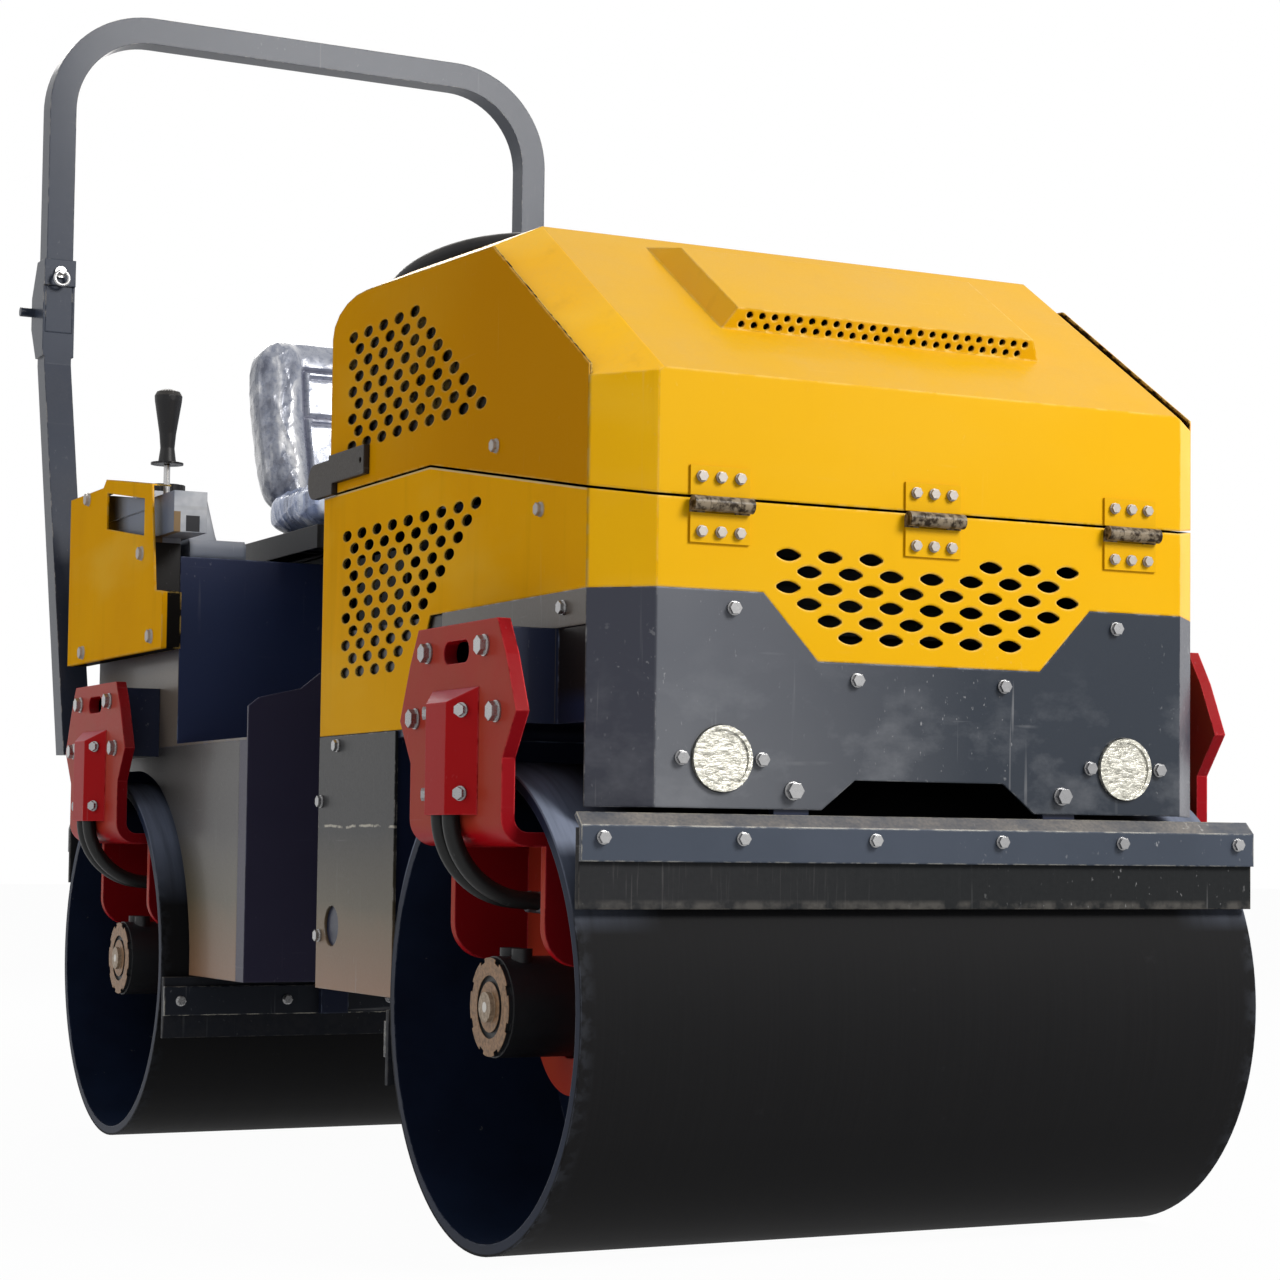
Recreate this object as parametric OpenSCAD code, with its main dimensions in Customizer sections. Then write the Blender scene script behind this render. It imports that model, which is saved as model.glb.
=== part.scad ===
// Ride-on tandem road roller with folding roll bar, millimetres.
// Z is up from the ground, the hood faces -Y, and the origin lies on the ground
// under the middle of the machine. Modules draw from the steering joint, and
// placed() moves them into that frame. Gear at one drum is drawn once for the
// front axle and mirrored for the rear.

/* [Drums] */
// Outer diameter of each drum
drum_d = 560; // [400:5:900]
// Width of the rolled strip
drum_w = 888; // [600:4:1400]
// Distance between the drum axles
wheelbase = 1524; // [1300:4:2200]
// Wall of the drum shell
drum_wall = 14; // [8:1:30]
// Depth of the open dish at each drum end
dish_depth = 208; // [150:2:260]
// Plate thickness of the drum web discs
web_t = 14; // [8:1:30]
// Outer diameter of the tube between the web discs
drum_tube_d = 190; // [150:2:260]
// Wall of that tube
drum_tube_wall = 12; // [6:1:25]
// Diameter of the spindle that each web disc turns on
spindle_d = 90; // [60:2:130]
// Radial running clearance of shafts and pins
run_clear = 0.05; // [0.02:0.01:0.1]
// Diameter of the vibration shaft
eccentric_d = 44; // [30:1:60]
// Diameter of its eccentric weight
weight_d = 130; // [90:2:150]
// Length of the eccentric weight
weight_l = 240; // [120:5:320]

/* [Hangers] */
// Outer face of the hanger plates from the middle
hanger_face = 478; // [420:2:700]
// Thickness of the hanger plates
hanger_t = 16; // [8:1:25]
// Outer radius of the bend at the hanger's foot
hanger_bend = 32; // [20:1:40]
// Height of the hanger top edge
hanger_top_z = 716; // [600:2:900]
// Height of the sloping shoulder's lower end
hanger_shoulder_z = 675; // [600:1:880]
// Height of the widest point
hanger_wide_z = 611; // [560:1:860]
// Height of the waist
hanger_waist_z = 560; // [520:1:840]
// Height of the bottom bend
hanger_foot_z = 479; // [440:1:800]
// Half width at the top edge
hanger_top_half = 118; // [60:1:200]
// Half width at the shoulder
hanger_shoulder_half = 144; // [80:1:220]
// Half width at the widest point
hanger_wide_half = 174; // [100:1:260]
// Half width of the waist and the shelf below
hanger_waist_half = 137; // [80:1:200]
// Plate of the cheeks and the motor web
cheek_t = 12; // [6:1:20]
// Outer edge of the cheeks from the middle
cheek_out = 424; // [360:1:640]
// Inner face of the motor web from the middle
hanger_web_in = 318; // [290:1:380]
// Lowest height of the cheeks
cheek_low_z = 330; // [290:1:400]
// Corner radius at the bottom of the cheeks
cheek_round = 44; // [10:1:60]
// Radius of the round lower end of the motor web
web_round = 104; // [90:1:135]
// Slot at the hanger top, length and height
hanger_slot = [76, 26]; // [10:1:120]
// Height of the slot's middle
hanger_slot_z = 684; // [640:1:700]
// Hole for the hoses, length and height
hose_hole = [74, 24]; // [20:1:100]
// Height of the hose hole's middle
hose_hole_z = 617; // [560:1:640]
// Reach of the hose cover from the hanger plate
cover_reach = 24; // [20:1:40]
// Half width of the cover at its front face
cover_half = 30; // [20:1:60]
// Half width of the cover at its feet
cover_foot_half = 70; // [50:1:100]
// Height range of the cover
cover_z = [498, 642]; // [400:1:700]
// Drop of the cover's sloping top
cover_drop = 17; // [5:1:40]
// Sheet of the hose covers
cover_t = 3; // [1.5:0.5:6]
// Outer diameter of the drum hoses
hose_d = 18; // [10:1:24]
// Wall of the drum hoses
hose_wall = 4; // [2:0.5:6]
// Half distance between the two hoses of a pair
hose_half_gap = 17; // [11:1:25]
// Diameter of the drum motors
motor_d = 116; // [90:1:150]
// Outer end of the drum motors from the middle
motor_out = 431; // [380:1:440]
// Outer diameter of the rubber mounts
buffer_d = 34; // [20:1:50]
// Circle that the rubber mounts stand on
buffer_circle_d = 164; // [150:2:200]
// Thickness of the motor carrier plate
carrier_t = 14; // [8:1:20]
// Outer face of the motor carrier plate from the middle
carrier_out = 282; // [260:1:300]
// Diameter of the motor carrier plate
carrier_d = 250; // [200:2:300]

/* [Frame arms] */
// Height range of the arms that carry the hangers
arm_z = [600, 707]; // [500:2:800]
// Half width of the arms
arm_half = 118; // [60:1:200]
// Plate of the arms
arm_t = 6; // [4:1:16]

/* [Scrapers] */
// Height range of the outer scraper bars
outer_bar_z = [448, 487]; // [300:1:600]
// Bottom of the outer rubber blades
outer_blade_z = 397; // [350:1:420]
// Height range of the inner scraper bars
inner_bar_z = [204, 248]; // [150:1:300]
// Height range of the inner rubber blades
inner_blade_z = [170, 262]; // [120:1:300]
// Outer face of the outer bars from the axle
outer_bar_reach = 275; // [200:1:400]
// Outer face of the inner bars from the axle
inner_bar_reach = 299; // [200:1:400]
// Plate of the scraper bars
bar_t = 6; // [3:1:12]
// Rise of the outer bars' bent lip
lip_rise = 14; // [6:1:18]
// Thickness of the rubber blades
blade_t = 9; // [5:1:15]
// First, second and third bolt from the middle
bar_bolt_x = [84, 251, 419]; // [20:1:600]
// Plate of the scraper brackets
bracket_t = 12; // [5:1:16]
// Scraper brackets from the middle
bracket_x = 178; // [60:1:200]
// Width of the scraper brackets
bracket_w = 44; // [20:1:80]

/* [Hood] */
// Half width of the bodywork
body_half = 407; // [300:1:600]
// Front face of the bodywork from the steering joint
nose_y = 1017; // [900:1:1300]
// Corner chamfer of the front
nose_chamfer = 58; // [20:1:120]
// Sheet of the hood, apron and skirts
sheet = 4; // [2:0.5:6]
// Height of the joint between the hoods at the front
part_front_z = 848; // [700:1:1000]
// Height of that joint at the corner
part_corner_z = 858; // [700:1:1000]
// Height of its level rear length
part_rear_z = 933; // [750:1:1100]
// Distance from the steering joint where it turns level
part_kink_y = 491; // [300:1:700]
// Open width of the joint between the hoods
part_gap = 3; // [1:0.5:6]
// Height of the brow where the slope begins
brow_z = 988; // [850:1:1100]
// Ridge from the steering joint
ridge_y = 680; // [500:1:800]
// Height of the ridge
ridge_z = 1205; // [1000:1:1400]
// Rise of the top from the ridge to the rear
top_rise = 24; // [0:1:80]
// Rear edge of the upper hood from the steering joint
hood_rear_y = 128; // [60:1:200]
// Rear edge of the lower hood from the steering joint
lower_rear_y = 106; // [40:1:200]
// Half width of the flat top
top_half = 343; // [200:1:500]
// Drop of the bevel along the top
bevel_drop = 31; // [10:1:80]
// Length and fall of the hood's rear top corner
hood_tail = [130, 53]; // [10:1:160]
// Lower edge of the lower hood
lower_z = 747; // [650:1:820]
// Lowest point of its front lip and its half widths there and above
lip_z = 673; // [600:1:740]
// Half widths of the lip at its bottom and top
lip_half = [148, 218]; // [50:1:350]
// Step of the lower hood side behind the drum, start and end
side_step_y = [499, 418]; // [200:1:700]
// Lower edge of the lower hood side behind the step
side_low_z = 609; // [500:1:700]

/* [Vents] */
// Height of the long vent holes
vent_d = 14.4; // [6:0.2:16]
// Length of the vent holes
vent_l = 33; // [10:1:45]
// Pitch of the vent holes along a row
vent_pitch = 55.4; // [35:0.2:90]
// Height from one vent row to the next
vent_row = 18.15; // [15:0.05:30]
// Vent hole nearest the rear, from the steering joint
vent_rear_y = 198; // [160:1:300]
// Rows and top height of the lower vents
vent_low_rows = 11; // [3:1:14]
// Height of the top row of the lower vents
vent_low_z = 872; // [800:1:900]
// Holes in the top row of the lower vents
vent_low_count = 9; // [3:1:10]
// Rows of the upper vents
vent_up_rows = 9; // [3:1:12]
// Height of the top row of the upper vents
vent_up_z = 1136; // [1000:1:1200]
// Length of the front ovals
oval_l = 31; // [15:1:45]
// Height of the front ovals
oval_h = 14; // [6:0.5:16]
// Pitch of the front ovals
oval_pitch = 53.3; // [40:0.1:80]
// Height from one oval row to the next
oval_row = 18; // [16:0.5:30]
// Height of the top oval row
oval_top_z = 790.5; // [760:0.5:830]

/* [Hood scoop] */
// Half width of the raised scoop at its foot
scoop_half = 217; // [120:1:320]
// Distance of its lower edge up the slope from the brow
scoop_start = 132; // [40:1:200]
// Length of the scoop up the slope
scoop_l = 238; // [100:1:250]
// Height of the scoop above the slope
scoop_rise = 26; // [8:1:40]
// Run of its front face, back face and side faces
scoop_run = [3, 59, 15]; // [2:1:80]
// Holes in each row on the front face
scoop_holes = 24; // [4:1:30]
// Pitch of those holes
scoop_pitch = 16.4; // [12:0.2:30]
// Diameter of those holes
scoop_hole_d = 8.4; // [4:0.2:9]

/* [Apron and skirts] */
// Bottom of the front apron
apron_z = 507; // [480:1:600]
// Height of the cut-out in the apron's lower edge
apron_cut_h = 34; // [10:1:60]
// Half widths of the cut-out, bottom and top
apron_cut_half = [143, 99]; // [40:1:200]
// Bottom of the apron's side return
return_z = 707; // [650:1:740]
// Rear end of the side return from the steering joint
return_y = 540; // [500:1:900]
// Side skirt, rear and front edge from the steering joint
skirt_y = [105, 388]; // [60:1:460]
// Side skirt, bottom and top
skirt_z = [272, 608]; // [150:1:700]
// Hole in the side skirt
skirt_hole_d = 54; // [20:1:90]
// Middle of that hole from the steering joint and its height
skirt_hole_at = [163, 356]; // [120:1:500]
// Headlamp diameter
lamp_d = 74; // [50:1:100]
// Headlamp middle, sideways and height
lamp_at = [268, 561.5]; // [200:1:700]
// Depth of the headlamp behind the apron
lamp_depth = 40; // [20:1:60]

/* [Steering joint] */
// Height range of the yoke block
yoke_z = [330, 450]; // [280:1:500]
// Half width of the yoke block
yoke_half = 55; // [40:1:80]
// Steering pin diameter
pin_d = 50; // [30:1:70]
// Lug plate thickness
lug_t = 22; // [12:1:40]
// Trunnion diameter
trunnion_d = 84; // [60:1:110]
// Gap between moving flat faces
face_gap = 0.3; // [0.3:0.1:1]

/* [Rear body] */
// Front face of the bulkhead from the steering joint
bulk_y = 202; // [180:1:300]
// Sheet of the bulkhead and floor
bulk_t = 5; // [3:0.5:10]
// Side return of the bulkhead
bulk_flange = 36; // [15:1:60]
// Bulkhead bottom and its height at the side edge
bulk_z = [265, 663]; // [200:1:800]
// Steps of the bulkhead outline, half widths
bulk_step_x = [391, 328, 300]; // [200:1:500]
// Steps of the bulkhead outline, heights
bulk_step_z = [676, 691, 714]; // [600:1:800]
// Floor height
floor_z = 618; // [600:1:700]
// Front of the seat box from the steering joint
seatbox_y = 550; // [480:1:700]
// Rear of the seat box from the steering joint
seatbox_rear_y = 1000; // [900:1:1100]
// Top of the seat box
seatbox_z = 909; // [800:1:1000]
// Plate of the seat box and side plates
box_t = 4; // [2:0.5:10]

/* [Steering column] */
// Half width of the column tower
tower_half = 120; // [80:1:160]
// Depth of the column tower
tower_d = 92; // [60:1:140]
// Top of the column tower
tower_z = 1130; // [1000:1:1200]
// Steering wheel radius
wheel_r = 185; // [140:1:220]
// Steering wheel rim thickness
rim_d = 27; // [18:1:36]
// Tilt of the wheel towards the driver
wheel_tilt = 18; // [0:1:40]
// Wheel middle, distance from the steering joint and height
wheel_at = [240, 1306]; // [150:1:1500]
// Steering shaft diameter
shaft_d = 22; // [14:1:30]

/* [Seat] */
// Seat cushion width, depth and height
cushion_size = [470, 300, 78]; // [60:2:600]
// Front edge of the cushion from the steering joint
cushion_y = 440; // [400:1:600]
// Underside of the cushion
cushion_z = 962; // [920:1:1000]
// Backrest width, thickness and height
back_size = [440, 84, 300]; // [60:2:600]
// Lean of the backrest
back_lean = 8; // [0:1:25]

/* [Roll bar] */
// Outside width of the square tube
bar = 46; // [30:1:70]
// Wall of the square tube
bar_wall = 5; // [3:0.5:8]
// Outer half width of the roll bar
hoop_half = 470; // [400:1:700]
// Front face of the hoop from the steering joint
hoop_y = 1170; // [1000:1:1400]
// Top of the hoop
hoop_z = 1928; // [1500:2:2400]
// Outer bend radius of the hoop
hoop_r = 182; // [100:1:300]
// Height where the posts turn upright
post_bend_z = 1295; // [1100:1:1500]
// Height of the joint between post and hoop
fold_z = 1350; // [1200:1:1600]
// Lower end of the posts
post_foot_z = 610; // [560:1:700]
// Lean of the posts
post_lean = 15.5; // [0:0.5:25]
// Height range of the hinge cheeks
hinge_z = [1308, 1478]; // [1200:1:1700]
// Reach of the hinge cheeks behind the tube
hinge_bulge = 34; // [24:1:60]
// Plate of the hinge cheeks
hinge_t = 4; // [2:0.5:10]
// Hinge pin diameter
fold_pin_d = 16; // [10:1:24]
// Lock pin height and diameter
lock_z = 1455; // [1400:1:1600]
// Diameter of the lock pins
lock_d = 12; // [8:1:20]

/* [Console] */
// Outer face of the console cover from the middle
console_x = 462; // [440:1:600]
// Inner edge of the console cover from the middle
console_in = 432; // [410:1:500]
// Console front, middle and rear distances from the steering joint
console_y = [459, 783, 1000]; // [300:1:1200]
// Console heights: bottom, waist, front top, rear top
console_z = [759, 845, 1016, 1050]; // [600:1:1200]
// Window of the console, front and rear
window_y = [563, 776]; // [400:1:900]
// Window of the console, bottom and top at the rear
window_z = [939, 1027]; // [800:1:1100]
// Rise of the window's slanted edges
window_rise = 30; // [0:1:60]

/* [Hidden] */
$fn = 48;
hood_yellow = [0.93, 0.66, 0.05];
frame_blue = [0.12, 0.15, 0.24];
panel_grey = [0.3, 0.31, 0.34];
hanger_red = [0.72, 0.1, 0.12];
steel = [0.62, 0.63, 0.64];
rubber_black = [0.1, 0.1, 0.1];
drum_black = [0.13, 0.13, 0.14];
seat_silver = [0.62, 0.64, 0.68];
over = 1;
bolt_head = 8;
bolt_af = 24;
small_bolt_af = 13;
hanger_bolt_af = 19;
small_head = 5;
washer_t = 2.5;
axle_y = wheelbase / 2;
axle_z = drum_d / 2;
drum_half = drum_w / 2;
web_out = drum_half - dish_depth;
web_in = web_out - web_t;
hoop_rear = hoop_y + bar + hinge_bulge;
scraper_front = axle_y + outer_bar_reach + bolt_head + washer_t;
mid_y = (hoop_rear - scraper_front) / 2;
slope = atan((ridge_z - brow_z) / (nose_y - ridge_y));
top_slope = atan(top_rise / (ridge_y - hood_rear_y));
hood_top_z = ridge_z + top_rise;
side_z = ridge_z - bevel_drop;
hanger_in = hanger_face - hanger_t;
inner_half = body_half - sheet;
rail_t = 12;
rail_x = inner_half - rail_t;
bay_z = arm_z[0];
tray_t = 8;
hinge_r = 8.5;
hinge_y = nose_y + hinge_r;
hinge_axis_z = part_front_z - hinge_r + over / 2;
leaf_w = 74;
leaf_t = 3;
leaf_h = 34;
hinge_x = [-274, 0, 274];
hinge_pin_d = 8;
knuckle_w = 18;
yoke_mid = (yoke_z[0] + yoke_z[1]) / 2;
hose_r = hose_d / 2;
bolt_half = [85, 121];
bolt_z = [687, 612];
seat_top = seatbox_z;
pivot_y = hoop_y + bar + hinge_bulge / 2 + over;
pivot_z = (hinge_z[0] + hinge_z[1]) / 2 - over;
post_bar = bar + 2 * face_gap;

// Shared helpers
module placed() {
    translate([0, -mid_y, 0]) children();
}

module both() {
    children();
    mirror([1, 0, 0]) children();
}

module at_rear() {
    mirror([0, 1, 0]) children();
}

module span(a, b) {
    translate(a) cube(b - a);
}

module rod_x(d, x0, x1, y, z) {
    translate([x0, y, z]) rotate([0, 90, 0]) cylinder(d = d, h = x1 - x0);
}

module rod_y(d, y0, y1, x, z) {
    translate([x, y0, z]) rotate([-90, 0, 0]) cylinder(d = d, h = y1 - y0);
}

// Plate whose outline is drawn in y and z, from x0 outwards
module plate_x(x0, t) {
    translate([x0, 0, 0]) rotate([90, 0, 90]) linear_extrude(t) children();
}

// Plate whose outline is drawn in x and z, from y0 backwards
module plate_y(y0, t) {
    translate([0, y0 + t, 0]) rotate([90, 0, 0]) linear_extrude(t) children();
}

module bolt_x(x0, y, z, af = bolt_af, h = bolt_head) {
    rod_x(1.3 * af, x0, x0 + washer_t, y, z);
    translate([x0 + washer_t, y, z]) rotate([0, 90, 0])
        cylinder(d = af / cos(30), h = h, $fn = 6);
}

module bolt_y(y0, x, z, af = small_bolt_af, h = small_head) {
    rod_y(1.25 * af, y0 - washer_t, y0, x, z);
    translate([x, y0 - washer_t, z]) rotate([90, 0, 0])
        cylinder(d = af / cos(30), h = h, $fn = 6);
}

// Gear at one drum, drawn at the front axle
module at_axle() {
    translate([0, -axle_y, 0]) children();
}

module frame_arms(x0) {
    at_axle() both() difference() {
        span([x0, -arm_half, arm_z[0]], [hanger_in, arm_half, arm_z[1]]);
        span([body_half, arm_t - arm_half, arm_z[0] + arm_t],
            [hanger_in + over, arm_half - arm_t, arm_z[1] - arm_t]);
    }
}

// From the beam whose face is beam_face before the axle down to the outer bar
module scraper_brackets(beam_face) {
    at_axle() both() translate([bracket_x - bracket_w / 2, 0, 0]) {
        span([0, -outer_blade_in, outer_bar_z[0]],
            [bracket_w, bracket_t - beam_face, outer_bar_z[1] - bar_t / 2]);
        span([0, -beam_face, outer_bar_z[0]],
            [bracket_w, bracket_t - beam_face, bay_z + tray_t]);
    }
}

module inner_brackets(plate_y0) {
    both() translate([bracket_x - bracket_w / 2, 0, 0]) {
        span([0, inner_bar_reach - axle_y, inner_bar_z[0]],
            [bracket_w, inner_bar_reach + bracket_t - axle_y, cross_low_z + bracket_t]);
        span([0, inner_bar_reach - axle_y, cross_low_z],
            [bracket_w, plate_y0, cross_low_z + bracket_t]);
    }
}

module hanger_outline() {
    foot = hanger_foot_z - hanger_t + hanger_bend;
    polygon([[-hanger_waist_half, foot], [-hanger_waist_half, hanger_waist_z],
        [-hanger_wide_half, hanger_wide_z], [-hanger_shoulder_half, hanger_shoulder_z],
        [-hanger_top_half, hanger_top_z], [hanger_top_half, hanger_top_z],
        [hanger_shoulder_half, hanger_shoulder_z], [hanger_wide_half, hanger_wide_z],
        [hanger_waist_half, hanger_waist_z], [hanger_waist_half, foot]]);
}

// Quarter bend between the hanger's face and its shelf
module hanger_corner() {
    foot = hanger_foot_z - hanger_t;
    plate_y(-hanger_waist_half, 2 * hanger_waist_half) intersection() {
        translate([hanger_face - hanger_bend, foot + hanger_bend]) difference() {
            circle(hanger_bend);
            circle(hanger_bend - hanger_t);
        }
        translate([hanger_face - hanger_bend, foot]) square(hanger_bend);
    }
}

module long_hole(l, h) {
    square([l - h, h], center = true);
    for (s = [-1, 1]) translate([s * (l - h) / 2, 0]) circle(d = h);
}

// Oval from two wide arcs, cut short by a third about its middle
module oval(l, h) {
    arc = (l * l + h * h) / h / 3.4;
    intersection() {
        circle(d = l);
        translate([0, arc - h / 2]) circle(arc);
        translate([0, h / 2 - arc]) circle(arc);
    }
}

module cheek_outline() {
    top = hanger_foot_z - hanger_t;
    translate([hanger_web_in, cheek_low_z + cheek_round])
        square([cheek_out - hanger_web_in, top - cheek_low_z - cheek_round]);
    translate([hanger_web_in, cheek_low_z])
        square([cheek_out - cheek_round - hanger_web_in, cheek_round + over]);
    translate([cheek_out - cheek_round, cheek_low_z + cheek_round]) circle(cheek_round);
}

module hangers() {
    at_axle() both() {
        plate_x(hanger_in, hanger_t) difference() {
            hanger_outline();
            translate([0, hanger_slot_z]) long_hole(hanger_slot[0], hanger_slot[1]);
            translate([0, hose_hole_z]) long_hole(hose_hole[0], hose_hole[1]);
        }
        hanger_corner();
        span([hanger_web_in, -hanger_waist_half, hanger_foot_z - hanger_t],
            [hanger_face - hanger_bend, hanger_waist_half, hanger_foot_z]);
        for (y = [-hanger_waist_half, hanger_waist_half - cheek_t])
            plate_y(y, cheek_t) cheek_outline();
        plate_x(hanger_web_in, cheek_t) difference() {
            union() {
                translate([0, axle_z]) circle(web_round);
                translate([-hanger_waist_half, cheek_low_z])
                    square([2 * hanger_waist_half, hanger_foot_z - hanger_t - cheek_low_z]);
            }
            translate([0, axle_z]) circle(d = motor_d + 2 * cover_t);
        }
    }
}

// Hat section with a sloping top, less the same shape one sheet smaller
module cover_shape(t) {
    intersection() {
        translate([0, 0, cover_z[0] - t]) linear_extrude(cover_z[1] - cover_z[0] + 2 * t)
            polygon([[hanger_face - t, -cover_foot_half + 2 * t],
                [hanger_face + cover_reach - t, -cover_half + t / 2],
                [hanger_face + cover_reach - t, cover_half - t / 2],
                [hanger_face - t, cover_foot_half - 2 * t]]);
        plate_y(-cover_foot_half, 2 * cover_foot_half)
            polygon([[hanger_face - t, cover_z[0] - t], [hanger_face - t, cover_z[1] - t],
                [hanger_face + cover_reach, cover_z[1] - cover_drop - 1.4 * t],
                [hanger_face + cover_reach, cover_z[0] - t]]);
    }
}

module hose_covers() {
    at_axle() both() difference() {
        cover_shape(0);
        cover_shape(cover_t);
    }
}

port_x = (motor_out + hanger_web_in + cheek_t) / 2 + 2 * hose_r;
port_z = axle_z + motor_d / 2 + hose_r;

// Round hose along points in x and z, built ring by ring as one skin
hose_sides = 10;
hose_x = hanger_face + cover_reach / 2 - over / 2;
hose_path = [[body_half, hose_hole_z], [hanger_in - hose_d / 2, hose_hole_z],
    [hanger_face - hanger_t / 4, hose_hole_z],
    [hose_x - hose_r * 0.7, hose_hole_z - hose_r * 0.5], [hose_x, hose_hole_z - 2 * hose_r],
    [hose_x, (hose_hole_z + hanger_foot_z) / 2], [hose_x, hanger_foot_z],
    [hose_x - hose_r * 0.15, hanger_foot_z - hose_d],
    [hose_x - hose_r * 0.9, hanger_foot_z - 2.2 * hose_d],
    [hose_x - hose_r * 2.6, hanger_foot_z - 3.3 * hose_d],
    [hose_x - hose_r * 4.8, hanger_foot_z - 4.2 * hose_d],
    [hose_x - hose_r * 7, hanger_foot_z - 5 * hose_d],
    [port_x + hose_r * 0.4, hanger_foot_z - 6 * hose_d],
    [port_x, port_z + hose_d / 3], [port_x, port_z]];
hose_n = len(hose_path);

function turn_at(i) = let(a = hose_path[max(i - 1, 0)], b = hose_path[min(i + 1, hose_n - 1)])
    (b - a) / norm(b - a);

function hose_ring(i, r) = let(t = turn_at(i)) [for (k = [0:hose_sides - 1])
    let(a = 360 * k / hose_sides) [hose_path[i][0] - t[1] * r * cos(a), r * sin(a),
        hose_path[i][1] + t[0] * r * cos(a)]];

module hose(r) {
    pts = [for (i = [0:hose_n - 1]) each hose_ring(i, r)];
    side = [for (i = [0:hose_n - 2], k = [0:hose_sides - 1]) let(n = (k + 1) % hose_sides)
        [i * hose_sides + k, (i + 1) * hose_sides + k, (i + 1) * hose_sides + n,
            i * hose_sides + n]];
    first = [for (k = [0:hose_sides - 1]) k];
    last = [for (k = [hose_sides - 1:-1:0]) (hose_n - 1) * hose_sides + k];
    polyhedron(pts, concat([first], side, [last]));
}

module drum_hoses() {
    at_axle() both() for (s = [-1, 1])
        translate([0, s * hose_half_gap, 0]) hose(hose_r);
}

// Motors on their carrier plates, with the spindles that the drum turns on
module drum_motors() {
    notch_n = 8;
    at_axle() both() {
        difference() {
            union() {
                rod_x(motor_d, carrier_out, motor_out - bar_t, 0, axle_z);
                rod_x(motor_d - cover_t, motor_out - bar_t, motor_out, 0, axle_z);
                for (s = [-1, 1]) translate([port_x, s * hose_half_gap, axle_z])
                    cylinder(d = hose_d + 2 * cover_t, h = port_z - axle_z);
            }
            for (i = [0:notch_n - 1]) translate([motor_out - bar_t, 0, axle_z])
                rotate([(i + 0.5) * 360 / notch_n, 0, 0])
                    span([0, motor_d / 2 - bar_t, -bar_t], [bar_t + over, motor_d, bar_t]);
            difference() {
                rod_x(motor_d * 0.62, motor_out - bar_t / 2, motor_out + over, 0, axle_z);
                rod_x(motor_d * 0.5, motor_out - bar_t, motor_out + 2 * over, 0, axle_z);
            }
        }
        rod_x(motor_d * 0.3, motor_out, motor_out + bar_t, 0, axle_z);
        difference() {
            union() {
                rod_x(carrier_d, carrier_out - carrier_t, carrier_out, 0, axle_z);
                rod_x(spindle_d, web_in - spindle_d / 4, carrier_out, 0, axle_z);
            }
            rod_x(eccentric_d + 2 * run_clear, web_in - spindle_d / 4 - over,
                web_in + spindle_d / 4, 0, axle_z);
        }
    }
}

module rubber_mounts() {
    count = 6;
    at_axle() both() for (i = [0:count - 1])
        translate([0, 0, axle_z]) rotate([(i + 0.5) * 360 / count, 0, 0])
            rod_x(buffer_d, carrier_out, hanger_web_in, buffer_circle_d / 2, 0);
}

module scraper_bars() {
    at_axle() {
        plate_x(-drum_half, drum_w) polygon([[-outer_bar_reach, outer_bar_z[0]],
            [-outer_bar_reach, outer_bar_z[1]], [lip_y - bar_t * 0.7, outer_bar_z[1] + lip_rise],
            [lip_y, outer_bar_z[1] + lip_rise - bar_t * 0.7],
            [bar_t - outer_bar_reach, outer_bar_z[1] - bar_t * 0.45],
            [bar_t - outer_bar_reach, outer_bar_z[0]]]);
        span([-drum_half, inner_bar_reach - bar_t, inner_bar_z[0]],
            [drum_half, inner_bar_reach, inner_bar_z[1]]);
    }
}

module scraper_blades() {
    at_axle() {
        span([-drum_half, bar_t - outer_bar_reach, outer_blade_z],
            [drum_half, -outer_blade_in, outer_bar_z[1] - bar_t / 2]);
        span([-drum_half, inner_bar_reach - bar_t - blade_t, inner_blade_z[0]],
            [drum_half, inner_bar_reach - bar_t, inner_blade_z[1]]);
    }
}

module gear_bolts() {
    bar_z = outer_bar_z[0] + (outer_bar_z[1] - outer_bar_z[0]) * 0.66;
    inner_z = (inner_bar_z[0] + inner_bar_z[1]) / 2;
    foot_slope = atan(cover_reach / (cover_foot_half - cover_half));
    at_axle() {
        both() for (s = [-1, 1]) {
            for (i = [0, 1]) bolt_x(hanger_face, s * bolt_half[i], bolt_z[i], hanger_bolt_af);
            for (z = [cover_z[0] + bolt_af, cover_z[1] - 1.1 * bolt_af])
                translate([hanger_face + cover_reach / 2, s * (cover_half + cover_foot_half) / 2, z])
                    rotate([0, 0, s * foot_slope]) bolt_x(0, 0, 0, small_bolt_af, small_head);
        }
        for (x = bar_bolt_x, s = [-1, 1]) {
            bolt_y(-outer_bar_reach, s * x, bar_z, small_bolt_af * 0.95, small_head);
            mirror([0, 1, 0])
                bolt_y(-inner_bar_reach, s * x, inner_z, small_bolt_af * 0.95, small_head);
        }
    }
}

module drum() {
    at_axle() {
        difference() {
            rod_x(drum_d, -drum_half, drum_half, 0, axle_z);
            rod_x(drum_d - 2 * drum_wall, -drum_half - over, drum_half + over, 0, axle_z);
        }
        both() difference() {
            union() {
                rod_x(drum_d - drum_wall, web_in, web_out, 0, axle_z);
                rod_x(spindle_d * 1.5, web_out - over, carrier_out - carrier_t - bar_t, 0, axle_z);
            }
            rod_x(spindle_d + 2 * run_clear, web_in - over, carrier_out, 0, axle_z);
        }
        difference() {
            rod_x(drum_tube_d, -web_in - over, web_in + over, 0, axle_z);
            rod_x(drum_tube_d - 2 * drum_tube_wall, -web_out, web_out, 0, axle_z);
        }
    }
}

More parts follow.
